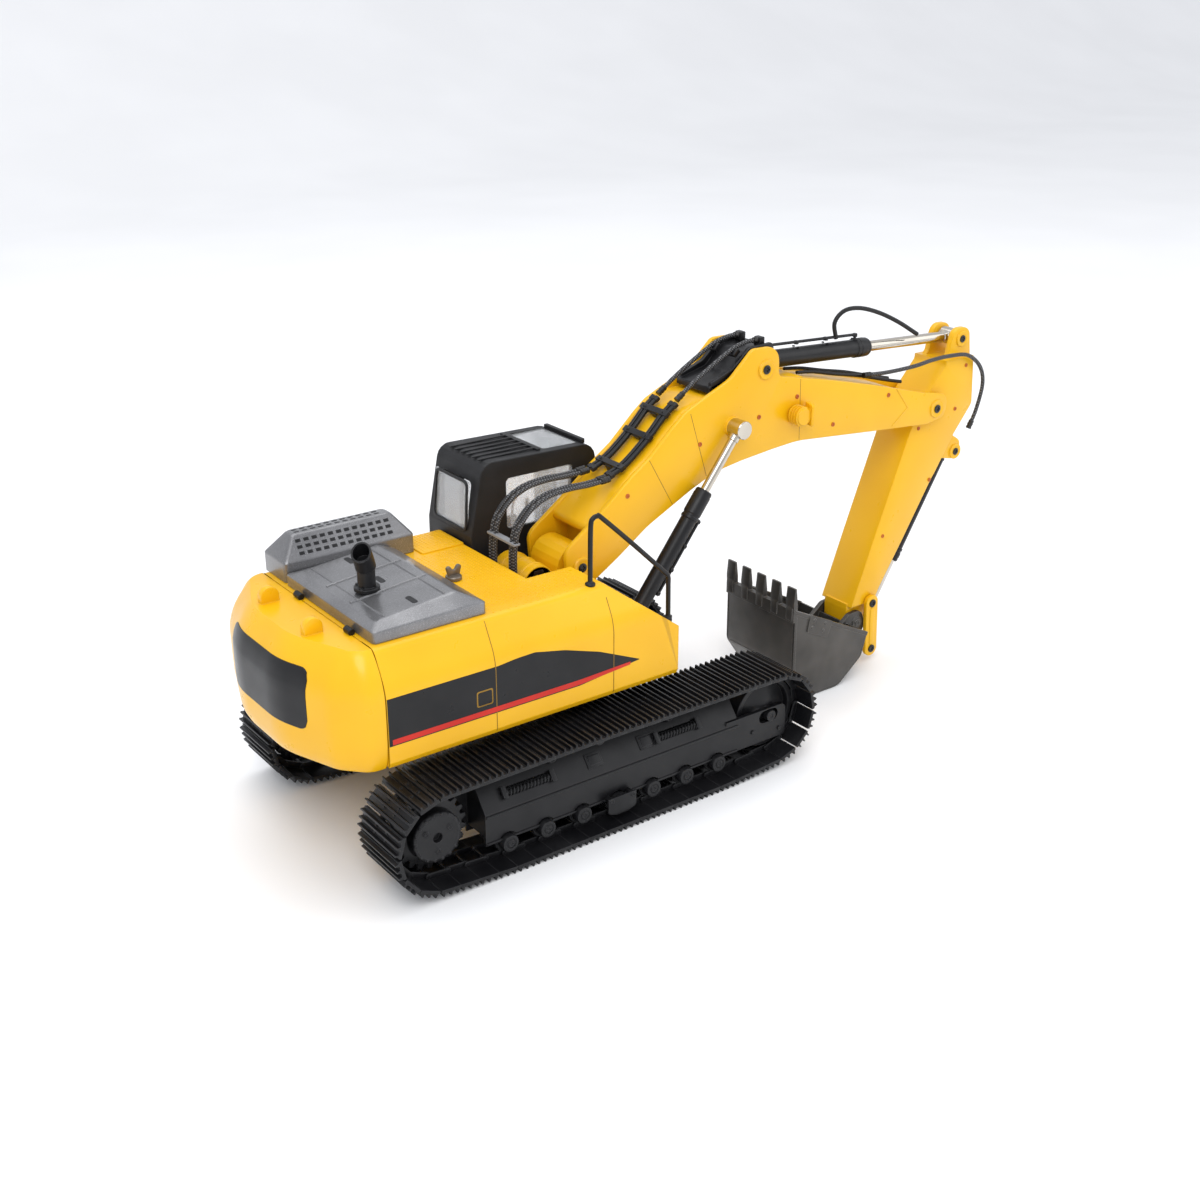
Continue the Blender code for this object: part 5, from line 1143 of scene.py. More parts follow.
def buildPipes():
    parts = []
    route = smoothRoute(pipes["route"], 40)
    for y in pipes["sides"]:
        path = np.column_stack([route[:, 0], np.full(40, y), route[:, 1]])
        parts.append(tube(path, pipes["radius"], 18))
        for end in (1, 38):
            direction = unit(path[min(end + 1, 39)] - path[max(end - 1, 0)])
            parts.append(placed(turned([(1.4, -1.6), (2.2, -1.4), (2.2, 1.4), (1.4, 1.6)], (0, 0, 0), (0, 0, 1), 6), path[end], direction))
    for at in (6, 22, 33):
        middle = route[at]
        direction = unit(route[at + 1] - route[at - 1])
        normal = np.array([-direction[1], direction[0]])
        bar = [middle + direction * a + normal * b for a, b in ((-1.9, -1.0), (1.9, -1.0), (1.9, 2.1), (-1.9, 2.1))]
        parts.append(slab(bar, -13.0, 13.0, "y", 0.4))
        foot = [middle + direction * a + normal * b for a, b in ((-2.4, -5.0), (2.4, -5.0), (2.4, 0.4), (-2.4, 0.4))]
        parts.append(slab(foot, -3.0, 3.0, "y", 0.4))
        for y in (-9.0, 9.0):
            place = middle + normal * 2.0
            parts.append(placed(hexHead(1.0, 0.8), (place[0], y, place[1]), (normal[0], 0, normal[1])))
    assemble("boom_pipes_fine", parts, "black", "boom", ("boom_pipes",))


# Cradle between the ears: a bent tray with two side rims and a rolled front lip.
def buildBracket():
    side = rounded([
        (122.5, 225.2, 0), (144.0, 225.2, 0), (156.0, 242.5, 3), (175.0, 245.0, 0), (175.0, 247.5, 1), (156.0, 246.0, 4),
        (143.0, 234.0, 6), (122.5, 229.0, 1),
    ], 7)
    parts = [slab(side, -15.8, 15.8, "y", 0.5)]
    rim = rounded([(124.0, 227.0, 0), (143.0, 232.0, 6), (156.0, 244.5, 4), (174.0, 246.5, 1), (174.0, 249.8, 1.5), (155.0, 249.0, 4),
                   (141.0, 237.5, 6), (124.0, 231.5, 1)], 6)
    for y in (-15.8, 12.8):
        parts.append(slab(rim, y, y + 3.0, "y", 0.5))
    for y in (-9.0, 9.0):
        parts.append(slab(rounded([(146.5, 243.0, 1), (150.5, 246.8, 1), (148.3, 249.3, 1), (144.3, 245.3, 1)], 4), y - 3.4, y + 3.4, "y", 0.4))
        parts.append(slab(rounded([(166.5, 247.0, 0.8), (170.5, 247.3, 0.8), (170.5, 253.2, 0.8), (166.5, 253.0, 0.8)], 4), y - 3.0, y + 3.0, "y", 0.4))
    assemble("hose_cradle", parts, "black", "boom", ("hose_bracket",))


hose = {
    "deck": ((-19.5, 102), (-20, 125), (-20.3, 145), (-19.6, 156), (-17, 166), (-9.5, 175.5), (3, 181.8), (18, 183.6), (34, 183.2), (48, 184.1)),
    "deckSides": (-12.8, -8.6, 8.6, 12.8),
    "knee": ((102.8, 223.2), (116, 232), (131, 240.5), (147, 248.5), (159, 251.2), (169, 250.8)), "kneeSides": (-9.0, 9.0),
    "stick": (
        (264, -9.5, 213), (285, -12, 212.5), (304, -18, 215), (321, -19, 217), (341, -19, 217), (357, -19, 214.5),
        (372, -17.5, 204), (378.5, -16, 190), (376.5, -14, 171), (372, -12.5, 158)),
    "arch": ((245, 239), (242, 250), (249, 257), (262, 257.5), (279, 252.5), (297, 244), (314.5, 233.6)),
    "radius": 1.4,
}


# Braided sleeve over a hose: radius = r + depth * max(|sin(k a + m s)|, |sin(k a - m s)|).
def braidedTube(path, radius, sides=24, depth=0.16, strands=4, turns=1.15):
    path = np.asarray(path, float)
    run = np.concatenate([[0], np.cumsum(np.linalg.norm(np.diff(path, axis=0), axis=1))])[:, None]
    angle = np.linspace(0, 2 * np.pi, sides, endpoint=False)[None]
    weave = np.maximum(np.abs(np.sin(strands * angle + run * turns)), np.abs(np.sin(strands * angle - run * turns)))
    rings = tube(path, 1.0, sides)[0].reshape(len(path), sides, 3)
    return loft(path[:, None] + (rings - path[:, None]) * (radius - depth + depth * weave)[:, :, None])


# Crimped metal sleeve at a hose's end.
def hoseEnd(place, direction):
    profile = [(0, -0.5), (2.0, -0.5), (2.0, 1.0), (1.75, 1.2), (1.75, 1.8), (2.0, 2.0), (2.0, 3.6), (1.75, 3.8), (1.75, 4.4), (2.0, 4.6),
               (1.9, 5.6), (0, 5.6)]
    return placed(turned(profile, (0, 0, 0), (0, 0, 1), 24), place, direction)


def buildHoses():
    route = smoothRoute(hose["deck"], 220)
    parts = []
    ends = []
    for y in hose["deckSides"]:
        path = np.column_stack([route[:, 0], np.full(220, y), route[:, 1]])
        parts.append(braidedTube(path, hose["radius"]))
        ends.append(hoseEnd(path[-1], path[-12] - path[-1]))
    braid = assemble("deck_hoses_braided", parts, "braid", None, ("deck_hoses",), 60)
    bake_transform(braid)
    tie = [brick((-21.8, -14.8, 157.0), (-17.4, 14.8, 158.4), 0.5)]
    assemble("deck_hose_tie", tie, "grey", "house")
    assemble("deck_hose_ends", ends, "steel", "boom")


def buildKneeHoses():
    route = smoothRoute(hose["knee"], 110)
    parts = []
    ends = []
    for y in hose["kneeSides"]:
        path = np.column_stack([route[:, 0], np.full(110, y), route[:, 1]])
        parts.append(braidedTube(path, hose["radius"]))
        ends.append(hoseEnd(path[0], path[6] - path[0]))
        ends.append(hoseEnd(path[-1], path[-7] - path[-1]))
    assemble("knee_hoses_braided", parts, "braid", "boom", ("knee_hoses",), 60)
    assemble("knee_hose_ends", ends, "steel", "boom")


def buildStickHose():
    path = smoothRoute(hose["stick"], 300)
    part = braidedTube(path, hose["radius"], depth=0.13)
    braid = assemble("stick_hose_braided", [part], "braid", None, ("stick_hose",), 60)
    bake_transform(braid)
    ends = [hoseEnd(path[-1], path[-12] - path[-1])]
    assemble("stick_hose_end", ends, "steel", "stick")
    assemble("stick_hose_start", [hoseEnd(path[0], path[12] - path[0])], "steel", "boom")


buildBoom()
buildLamp()
buildPipes()
buildBracket()
buildHoses()
buildKneeHoses()
buildStickHose()
print("boom and hoses made")


# ---- smooth arch hose and the hard line under the arm cylinder
def buildArmHoses():
    route = smoothRoute(hose["arch"], 90)
    path = np.column_stack([route[:, 0], np.linspace(0.0, -8.0, 90), route[:, 1]])
    parts = [tube(path, 1.45, 20)]
    lower = smoothRoute(((205, 223.6), (220, 221.6), (240, 217.0), (262, 212.4), (286, 206.0), (304, 201.5)), 60)
    for y in (-6.0, 6.0):
        parts.append(tube(np.column_stack([lower[:, 0], np.full(60, y), lower[:, 1]]), 1.2, 16))
    assemble("boom_back_lines", parts[1:], "black", "boom")
    # the arch leaves the barrel's head and comes down on the barrel again, so it rides on the barrel
    assemble("arm_arch_hose", parts[:1], "rubber", "arm_barrel")


cylinders = {
    "boom": {"foot": (53.8, 93.0), "eye": (137.8, 203.0), "radius": 5.4, "length": 93.0, "footRadius": 6.0, "footHalf": 5.8,
             "rod": 2.9, "eyeRadius": 5.8, "eyeHalf": 5.8, "collar": 20.0, "inside": 0.0},
    "arm": {"foot": (164.3, 235.0), "eye": (357.0, 225.0), "radius": 6.2, "length": 108.0, "footRadius": 6.2, "footHalf": 7.5,
            "rod": 3.6, "eyeRadius": 5.8, "eyeHalf": 6.2, "collar": 12.0, "inside": 60.0},
    "bucket": {"foot": (361.0, 142.0), "eye": (281.0, 10.0), "radius": 4.8, "length": 88.0, "footRadius": 5.2, "footHalf": 6.2,
               "rod": 3.1, "eyeRadius": 4.6, "eyeHalf": 5.0, "collar": 10.0, "inside": 43.0},
}


# Barrel about its own line: foot neck, tube, ribbed gland and a bore left open for the rod.
def barrelParts(c, y):
    foot = np.array([c["foot"][0], y, c["foot"][1]])
    eye = np.array([c["eye"][0], y, c["eye"][1]])
    along = unit(eye - foot)
    r, end, head = c["radius"], c["length"] + 1.5, c["length"] + 1.5 - c["collar"]
    bore = c["rod"] + 0.35
    profile = [
        (0, c["footRadius"] * 0.6), (r * 0.72, c["footRadius"] * 0.6), (r * 0.8, c["footRadius"] + 1.0), (r, c["footRadius"] + 2.4),
        (r, c["footRadius"] + 3.6), (r - 0.35, c["footRadius"] + 3.9), (r - 0.35, head - 0.4), (r + 0.3, head), (r + 0.3, head + 1.6),
        (r - 0.1, head + 2.0), (r - 0.1, head + 3.2), (r + 0.3, head + 3.6), (r + 0.3, end - 3.4), (r, end - 2.8), (r + 0.1, end - 1.2),
        (r - 0.5, end), (bore + 0.5, end), (bore, end - 0.5), (bore, end - 6.0), (0, end - 6.0),
    ]
    parts = [turned(profile, foot, along, 48)]
    f = c["footRadius"]
    h = c["footHalf"]
    parts.append(turned([(0, -h), (f - 0.5, -h), (f, -h + 0.5), (f, h - 0.5), (f - 0.5, h), (0, h)], foot, yAxis, 44))
    return parts, foot, along


def feedPipe(foot, along, radius, first, last, up):
    lift = unit(np.asarray(up, float) - along * (np.asarray(up, float) @ along))
    off = radius + 3.0
    a = foot + along * first
    b = foot + along * last
    corners = [a + lift * (radius - 1.0), a + lift * (off - 0.8), a + lift * off + along * 0.8,
               b + lift * off - along * 0.8, b + lift * (off - 0.8), b + lift * (radius - 1.0)]
    parts = [tube(evenly(np.array(corners), 80), 1.0, 14)]
    side = np.cross(along, lift)
    for share in (0.0, 0.33, 0.66, 1.0):
        place = foot + along * (first + (last - first) * share)
        parts.append(placed(turned([(0, 0), (1.7, 0), (1.7, 2.0), (1.4, 2.3), (0, 2.3)], (0, 0, 0), (0, 0, 1), 6),
                            place + lift * (off - 1.4), lift))
        for out in (-1, 1):
            parts.append(placed(crossScrew(0.9, 0.5, 0.25), place + side * out * 2.2 + lift * (radius - 0.1), lift))
    return parts


def eyeParts(c, y):
    eye = np.array([c["eye"][0], y, c["eye"][1]])
    h, r = c["eyeHalf"], c["eyeRadius"]
    ring = turned([(r - 2.6, -h), (r - 0.4, -h), (r, -h + 0.4), (r, h - 0.4), (r - 0.4, h), (r - 2.6, h)], eye, yAxis, 48)
    return [ring, turned([(0, -h + 0.8), (r - 2.4, -h + 0.8), (r - 2.4, h - 0.8), (0, h - 0.8)], eye, yAxis, 40)]


def rodParts(c, y):
    foot = np.array([c["foot"][0], y, c["foot"][1]])
    eye = np.array([c["eye"][0], y, c["eye"][1]])
    along = unit(eye - foot)
    span = np.linalg.norm(eye - foot)
    start = c["inside"] or span - 85.0 + 0.3
    near = span - c["eyeRadius"]
    r = c["rod"]
    return [turned([(0, start), (r, start), (r, near - 3.0), (r + 0.7, near - 2.6), (r + 0.7, near + 1.2), (0, near + 1.2)], foot, along, 40)]


def buildCylinders():
    c = cylinders["boom"]
    for word, side in (("right", -1), ("left", 1)):
        y = side * 27.6
        # the barrel slides on this cylinder while its rod swings with the boom's eye
        parts, foot, along = barrelParts(c, y)
        parts += feedPipe(foot, along, 5.4, 25.0, 76.0, (1.0, 0.0, -0.5))
        assemble(f"boom_barrel_{word}_turned", parts, "black", f"boom_barrel_{word}", (f"boom_cylinder_barrel_{word}",))
        name = f"boom_cylinder_rod_{word}"
        body = f"boom_rod_{word}"
        assemble(name + "_turned", rodParts(c, y) + eyeParts(c, y)[:1], "chrome", body, (name,))
        assemble(name + "_pin", eyeParts(c, y)[1:], "steel", body)
    c = cylinders["arm"]
    parts, foot, along = barrelParts(c, 0.0)
    parts += feedPipe(foot, along, 6.2, 18.0, 98.0, (0.0, 0.0, 1.0))
    assemble("arm_barrel_turned", parts, "black", "arm_barrel", ("arm_cylinder_barrel",))
    assemble("arm_rod_turned", rodParts(c, 0.0) + eyeParts(c, 0.0), "chrome", "arm_rod", ("arm_cylinder_rod",))
    c = cylinders["bucket"]
    parts, foot, along = barrelParts(c, 0.0)
    assemble("bucket_barrel_turned", parts, "black", "bucket_barrel", ("bucket_cylinder_barrel",))
    rodPieces = rodParts(c, 0.0) + eyeParts(c, 0.0)
    assemble("bucket_rod_turned", rodPieces, "chrome", "bucket_rod", ("bucket_cylinder_rod",))


stick = {
    "trunk": (
        (339.0, 212.3, 0), (367.6, 212.3, 0), (370.2, 177.1, 6.0), (354.0, 157.2, 2.0), (337.5, 131.5, 2.0), (334.0, 126.9, 0),
        (309.3, 86.7, 0), (288.5, 54.0, 6.0), (284.5, 45.2, 0), (261.4, 45.2, 0), (279.5, 93.5, 0), (306.0, 162.0, 4.0),
        (315.5, 183.0, 10.0), (339.0, 209.0, 4.0),
    ),
    "ears": ((341.5, 211.0, 0), (345.0, 215.0, 2.0), (349.0, 233.0, 7.5), (364.5, 232.5, 7.0), (367.6, 211.0, 0)),
    "lugs": ((337.0, 137.0, 0), (348.0, 166.0, 0), (354.5, 156.5, 2.0), (366.5, 149.0, 5.5), (364.0, 135.5, 5.5), (344.0, 140.0, 2.0)),
    "tip": ((260.9, 47.0, 0), (260.6, 43.0, 4.0), (261.2, 25.8, 6.5), (273.5, 25.8, 6.5), (281.0, 37.5, 6.0), (285.0, 47.0, 0)),
    "half": 15.0,
}


def buildStick():
    half = stick["half"]
    parts = [slab(rounded(stick["trunk"], 8), -half, half, "y", 0.9)]
    ears = rounded(stick["ears"], 10)
    lugs = rounded(stick["lugs"], 10)
    tip = rounded(stick["tip"], 10)
    for side in (-1, 1):
        parts.append(slab(ears, *sorted((side * 7.0, side * 11.4)), "y", 0.5))
        parts.append(slab(lugs, *sorted((side * 7.0, side * 11.0)), "y", 0.5))
    parts.append(slab(tip, -11.0, 11.0, "y", 0.6))
    ring = turned([(3.4, 0), (5.6, 0), (5.6, 0.9), (5.2, 1.3), (3.8, 1.3), (3.4, 1.0)], (0, 0, 0), (0, 0, 1), 40)
    cap = turned([(3.5, -2), (3.5, 0.5), (3.1, 0.9), (0, 0.9)], (0, 0, 0), (0, 0, 1), 40)
    for x, z, out in ((357.0, 225.0, 11.2), (361.0, 142.0, 10.8)):
        for side in (-1, 1):
            parts += [placed(ring, (x, side * out, z), (0, side, 0)), placed(cap, (x, side * out, z), (0, side, 0))]
    # raised rib down the front face
    rib = [(333.2, 128.2), (310.0, 90.2), (311.2, 89.4), (334.6, 127.6)]
    parts.append(slab(rib, -11.5, 11.5, "y", 0.3))
    assemble("stick_shell", parts, "yellow", "stick", ("stick",), 36)
    screws = []
    for x, z in ((359.9, 206.4), (331.8, 127.3), (288.1, 94.1), (352.5, 176.0), (316.0, 168.0)):
        for side in (-1, 1):
            screws.append(placed(crossScrew(1.4, 0.6, 0.35), (x, side * 15.0, z), (0, side, 0)))
    assemble("stick_screws", screws, "orange", "stick")
    bolts = []
    for x, z, out in ((357.0, 225.0, 11.9), (361.0, 142.0, 11.5)):
        for side in (-1, 1):
            bolts.append(placed(crossScrew(2.6, 1.1, 0.6), (x, side * out, z), (0, side, 0)))
    bolts.append(turned([(0, -19.6), (3.1, -19.6), (3.1, 19.6), (0, 19.6)], (326.0, 0, 182.0), yAxis, 32))
    assemble("stick_bolts", bolts, "steel", "stick", ("stick_pin",))


# Outline with round ends about two pins.
def linkOutline(first, second, radius, steps=20):
    along = np.arctan2(second[1] - first[1], second[0] - first[0])
    turn = np.linspace(0, np.pi, steps)
    near = np.stack([first[0] + radius * np.cos(along + np.pi / 2 + turn), first[1] + radius * np.sin(along + np.pi / 2 + turn)], axis=1)
    far = np.stack([second[0] + radius * np.cos(along - np.pi / 2 + turn), second[1] + radius * np.sin(along - np.pi / 2 + turn)], axis=1)
    return np.concatenate([near, far])


def buildLinkage():
    rocker, rodEnd = (279.0, 46.0), (281.0, 10.0)
    parts = []
    bolts = []
    for side in (-1, 1):
        parts.append(slab(linkOutline(rocker, rodEnd, 5.8), *sorted((side * 15.4, side * 18.6)), "y", 0.5))
        parts.append(slab(linkOutline((279.3, 40.5), (280.7, 15.5), 2.2), *sorted((side * 18.2, side * 19.2)), "y", 0.4))
        for x, z in (rocker, rodEnd):
            bolts.append(placed(crossScrew(2.9, 1.3, 0.7), (x, side * 18.5, z), (0, side, 0)))
    bolts.append(turned([(0, -16.2), (2.6, -16.2), (2.6, 16.2), (0, 16.2)], (279.0, 0, 46.0), yAxis, 28))
    assemble("rocker_plates", parts, "yellow", "rocker", ("rocker_link",))
    assemble("rocker_bolts", bolts, "steel", "rocker")


buildArmHoses()
buildCylinders()
buildStick()
buildLinkage()
print("stick and cylinders made")


# ---- bucket
bucket = {
    "outer": ((188.0, 69.0, 0), (188.5, 24.0, 10), (205.0, 0.4, 14), (233.0, 0.4, 12), (254.3, 17.3, 8), (259.0, 34.4, 0)),
    "half": 34.5, "wall": 2.0, "teeth": 5, "toothWide": 8.6,
}


# Wrapped floor as an open bent plate, and two cheeks with a folded rim.
def buildBucket():
    half, wall = bucket["half"], bucket["wall"]
    route = rounded(bucket["outer"], 12)
    edge = unit(np.gradient(route, axis=0))
    inner = route + wall * np.stack([-edge[:, 1], edge[:, 0]], axis=1)
    band = np.concatenate([route, inner[::-1]])
    parts = [slab(band, -half + 0.05, half - 0.05, "y", 0.25)]
    cheek = rounded(bucket["outer"], 12)
    for side in (-1, 1):
        parts.append(slab(cheek, *sorted((side * (half - wall), side * half)), "y", 0.35))
        rim = np.array([(188.2, 66.2), (188.2, 69.2), (259.2, 34.8), (258.2, 32.2)])
        parts.append(slab(rim, *sorted((side * (half - wall - 0.3), side * (half + 0.5))), "y", 0.3))
        cutter = rounded([(199.0, 50.8, 0.8), (218.3, 41.8, 0.8), (222.8, 53.0, 0.8), (201.4, 63.2, 0.8)], 4)
        parts.append(slab(cutter, *sorted((side * (half - 0.3), side * (half + 1.2))), "y", 0.3))
        for x, z in ((203.6, 53.2), (205.4, 58.2), (213.8, 48.4), (215.8, 53.3)):
            parts.append(placed(turned([(1.3, -0.3), (1.3, 0.3), (0.9, 0.7), (0, 0.8)], (0, 0, 0), (0, 0, 1), 20),
                                (x, side * (half + 1.2), z), (0, side, 0)))
        ear = rounded([(248.0, 18.0, 0), (256.0, 2.5, 4), (269.0, 3.0, 6), (270.0, 16.0, 4), (276.0, 30.0, 6), (272.0, 42.0, 7),
                       (260.0, 41.0, 6), (250.0, 33.0, 0)], 8)
        parts.append(slab(ear, *sorted((side * 11.8, side * 15.3)), "y", 0.5))
        for x, z in ((267.5, 33.0), (262.0, 9.0)):
            parts.append(placed(turned([(4.6, -0.5), (4.6, 0.7), (4.2, 1.0), (0, 1.0)], (0, 0, 0), (0, 0, 1), 36), (x, side * 15.3, z), (0, side, 0)))
            parts.append(placed(crossScrew(2.4, 1.0, 0.6), (x, side * 16.2, z), (0, side, 0)))
    # wear strips across the back and floor
    for k in (10, 24, 36):
        place = route[min(k, len(route) - 1)]
        normal = -np.stack([-edge[min(k, len(route) - 1), 1], edge[min(k, len(route) - 1), 0]])
        along = edge[min(k, len(route) - 1)]
        strip = [place + along * a + normal * b for a, b in ((-1.6, -0.4), (1.6, -0.4), (1.2, 0.5), (-1.2, 0.5))]
        parts.append(slab(np.array(strip), -half + 3, half - 3, "y", 0.2))
    pitch = (2 * half - bucket["toothWide"]) / (bucket["teeth"] - 1)
    for k in range(bucket["teeth"]):
        y = -half + bucket["toothWide"] / 2 + pitch * k
        wide = bucket["toothWide"] / 2 - 0.1
        tooth = [(186.9, 65.5), (186.4, 74.0), (187.3, 84.6), (188.6, 84.6), (190.1, 74.0), (190.3, 65.5)]
        parts.append(slab(tooth, y - wide, y + wide, "y", 0.5))
        adapter = [(186.0, 61.5), (185.9, 70.0), (186.8, 71.5), (190.2, 71.5), (190.9, 70.0), (190.9, 61.5)]
        parts.append(slab(adapter, y - wide + 1.1, y + wide - 1.1, "y", 0.5))
    lip = [(186.6, 60.0), (186.6, 69.2), (190.4, 69.2), (190.4, 60.0)]
    parts.append(slab(lip, -half + 0.2, half - 0.2, "y", 0.3))
    assemble("bucket_plates", parts, "gunmetal", "bucket", ("bucket",))


# ---- cab
cab = {"right": 28.5, "left": 79.0, "rear": -24.6, "front": 68.0, "top": 195.0, "low": 99.3}


def buildCab():
    parts = []
    top = cab["top"]
    for y in (36.5, 43.0, 49.5, 56.0, 62.5, 69.0):
        parts.append(brick((-13.0, y - 0.8, top - 0.4), (28.0, y + 0.8, top + 0.55), 0.4))
    for x in (27.5, 61.0):
        parts.append(brick((x, 33.0, top - 2.6), (x + 2.6, 74.5, top + 0.25), 0.4))
    # frames round the rear and left windows, the door's handle and hinges
    rearFrame = rounded([(34.2, 151.6, 4), (73.3, 151.6, 4), (71.8, 183.4, 4), (35.7, 183.4, 4)], 6)
    rearHole = rounded([(35.8, 153.2, 3), (71.7, 153.2, 3), (70.3, 181.8, 3), (37.2, 181.8, 3)], 6)
    ring = np.stack([rearFrame, rearHole])
    levels = np.array([cab["rear"] - 0.5, cab["rear"] + 0.6])
    shape = []
    for outline, level in ((0, 1), (0, 0), (1, 0), (1, 1)):
        y, z = ring[outline].T
        lean = np.interp(z, (150.0, 186.0), (0.5, 3.6))
        shape.append(np.column_stack([levels[level] + lean, y, z]))
    parts.append(loft(np.stack(shape), True))
    leftFrame = rounded([(0.2, 123.7, 5), (57.3, 123.7, 5), (57.3, 183.8, 7), (0.2, 183.8, 7)], 6)
    leftHole = rounded([(1.6, 125.1, 4), (55.9, 125.1, 4), (55.9, 182.4, 6), (1.6, 182.4, 6)], 6)
    shape = []
    for outline, level in ((leftFrame, 78.4), (leftFrame, 79.5), (leftHole, 79.5), (leftHole, 78.4)):
        shape.append(np.column_stack([outline[:, 0], np.full(len(outline), level), outline[:, 1]]))
    parts.append(loft(np.stack(shape), True))
    parts.append(brick((49.0, 78.8, 132.0), (51.4, 80.4, 146.0), 0.6))
    for z in (130.0, 176.0):
        parts.append(turned([(1.3, z - 4), (1.5, z - 3.6), (1.5, z + 3.6), (1.3, z + 4)], (-1.8, 79.6, 0), (0, 0, 1), 18))
    assemble("cab_trim", parts, "cabBlack", "house")
    panes = [
        brick((0.6, 77.6, 124.4), (57.0, 78.2, 183.2), 0.1),
        brick((0.6, 29.2, 149.4), (52.0, 29.8, 183.0), 0.1),
        brick((32.4, 34.0, top - 2.3), (59.2, 73.4, top - 1.7), 0.1),
    ]
    pane = brick((-0.3, 34.6, 152.0), (0.3, 72.9, 183.0), 0.1)
    lean = np.interp(pane[0][:, 2], (150.0, 186.0), (0.9, 3.8))
    panes.append((pane[0] + np.column_stack([cab["rear"] + 0.5 + lean, 0 * lean, 0 * lean]), pane[1], pane[2]))
    assemble("cab_panes", panes, "glass", "house")


# Seat with a crowned base, a backrest with side wings, a console and two levers.
def buildCabInside():
    middle = 53.75
    base = rounded([(9.0, 128.5, 2), (40.0, 128.5, 2), (41.0, 136.0, 4), (12.0, 137.0, 3)], 6)
    back = rounded([(5.5, 134.0, 2), (13.0, 136.0, 2), (8.5, 171.0, 4), (1.5, 171.0, 4)], 6)
    parts = [slab(base, middle - 11.5, middle + 11.5, "y", 2.2), slab(back, middle - 11.0, middle + 11.0, "y", 2.2)]
    head = rounded([(0.5, 170.0, 2), (7.0, 170.0, 2), (6.0, 179.0, 3), (-0.5, 179.0, 3)], 6)
    parts.append(slab(head, middle - 6.0, middle + 6.0, "y", 1.6))
    assemble("cab_seat_cushions", parts, "grey", "house", ("cab_seat",))
    stand = [turned([(5.0, 102.3), (5.0, 104.0), (3.4, 105.0), (3.4, 128.8), (6.0, 129.2)], (20.0, middle, 0), (0, 0, 1), 28)]
    for side in (-1, 1):
        stand.append(brick((14.0, middle + side * 14.8 - 2.2, 103.0), (34.0, middle + side * 14.8 + 2.2, 141.0), 1.2))
        stick_ = np.array([[31.0, middle + side * 14.8, 140.0], [32.0, middle + side * 14.8, 147.0], [33.5, middle + side * 14.6, 152.0]])
        stand.append(tube(smoothRoute(stick_, 12), 0.8, 12))
        stand.append(turned([(0, 0), (1.7, 0.6), (1.9, 3.0), (1.3, 5.2), (0, 5.6)], (33.3, middle + side * 14.6, 151.0), (0.15, 0, 1), 18))
    assemble("cab_console", stand, "black", "house")
    stripes = [slab(rounded([(14.2, 140.0, 1), (15.0, 140.0, 0), (10.6, 168.0, 0), (9.6, 168.0, 1)], 3), middle - 4.0, middle + 4.0, "y", 0.2)]
    assemble("cab_seat_panel", stripes, "red", "house")


# Handrail: the hoop, its feet and the clips that hold it.
def buildHandrail():
    points = ((-2, 144.6), (-1.9, 160), (-1.5, 180), (0, 184.2), (3.5, 185), (6.5, 183), (30, 161), (52, 139.5), (55, 135.5), (55.2, 130), (55.5, 107.5))
    route = smoothRoute(points, 160)
    path = np.column_stack([route[:, 0], np.full(160, -62.5), route[:, 1]])
    parts = [tube(path, 1.45, 20)]
    parts.append(turned([(3.0, 144.4), (3.0, 145.5), (2.6, 146.0), (1.4, 146.6)], (-2.0, -62.5, 0), (0, 0, 1), 28))
    parts.append(turned([(1.4, -0.5), (2.4, -0.5), (2.4, 3.0), (1.4, 3.2)], (55.5, -62.5, 107.5), (0, 0, 1), 24))
    parts.append(brick((50.5, -65.0, 108.5), (56.0, -60.0, 110.5), 0.5))
    assemble("handrail_tube", parts, "black", "house", ("handrail",))


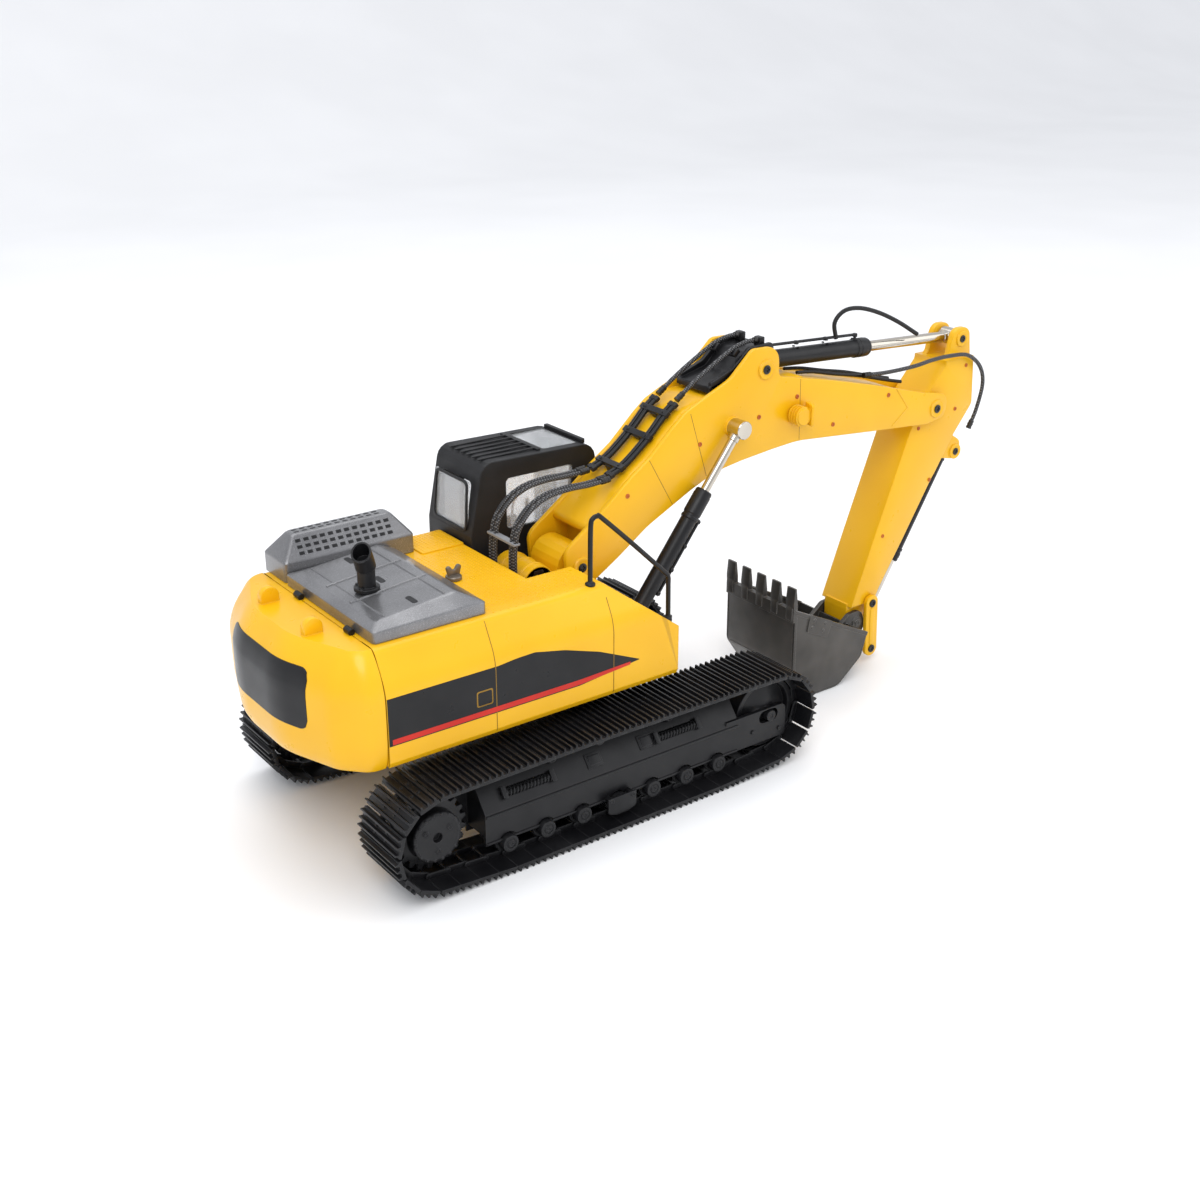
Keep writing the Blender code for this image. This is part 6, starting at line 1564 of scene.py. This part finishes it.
# Round pod, slot and ribbed cover behind the boom's foot.
def buildPod():
    x, z = -6.2, 131.0
    parts = [turned([(0, -16.5), (10.2, -16.5), (11.0, -15.7), (11.0, 15.7), (10.2, 16.5), (0, 16.5)], (x, 0, z), yAxis, 64)]
    for y in (-10.0, 0.0, 10.0):
        parts.append(turned([(10.8, y - 1.0), (11.5, y - 0.7), (11.5, y + 0.7), (10.8, y + 1.0)], (x, 0, z), yAxis, 64))
    assemble("boom_foot_pod", parts, "yellow", "house")
    dark = [slab(rounded([(x - 3.5, z - 8.5, 1), (x + 3.5, z - 8.5, 1), (x + 3.5, z + 8.5, 1), (x - 3.5, z + 8.5, 1)], 5),
                 *sorted((side * 16.2, side * 16.8)), "y", 0.1) for side in (-1, 1)]
    dark.append(turned([(0, -21.4), (3.5, -21.4), (3.5, 21.4), (0, 21.4)], (22.0, 0, 136.0), yAxis, 32))
    assemble("boom_foot_slots", dark, "steel", "house", ("boom_foot_pin",))


buildBucket()
buildCab()
buildCabInside()
buildHandrail()
buildPod()
print("bucket and cab made")


# ---- stage
def buildStage():
    size = 6.0
    mesh = bpy.data.meshes.new("floor")
    a = np.linspace(0, 1, 24)
    # floor that curves up into a back wall: z = rise * max(0, t) ** 2
    y = np.linspace(-2.5, 4.5, 60)
    z = np.where(y > 2.2, (y - 2.2) ** 2 * 0.35, 0.0)
    x = np.linspace(-size, size, 24)
    grid = np.stack(np.broadcast_arrays(x[None], y[:, None], z[:, None]), axis=-1) * 1000
    points, quads, ends = openGrid(grid)
    mesh.from_pydata((points / 1000).tolist(), [], quads.tolist())
    mesh.shade_smooth()
    mesh.materials.append(made["floor"])
    floor = bpy.data.objects.new("floor", mesh)
    bpy.context.scene.collection.objects.link(floor)


def openGrid(grid):
    rows, columns = grid.shape[:2]
    i = np.arange(columns - 1)
    k = np.arange(rows - 1)[:, None] * columns
    quads = np.stack([k + i, k + i + 1, k + i + 1 + columns, k + i + columns], axis=-1).reshape(-1, 4)
    return grid.reshape(-1, 3), quads, []


buildStage()
addCamera()
addLight("key", (-1.1, -1.3, 1.9), 1.5, 26.0)
addLight("fill", (1.6, -1.2, 1.1), 1.8, 9.0)
addLight("top", (0.1, 0.4, 2.2), 2.2, 20.0)
world = bpy.data.worlds.new("studio")
world.use_nodes = True
world.node_tree.nodes["Background"].inputs["Color"].default_value = (0.93, 0.95, 1.0, 1.0)
world.node_tree.nodes["Background"].inputs["Strength"].default_value = 0.88
bpy.context.scene.world = world
bpy.context.scene.view_settings.view_transform = "Standard"
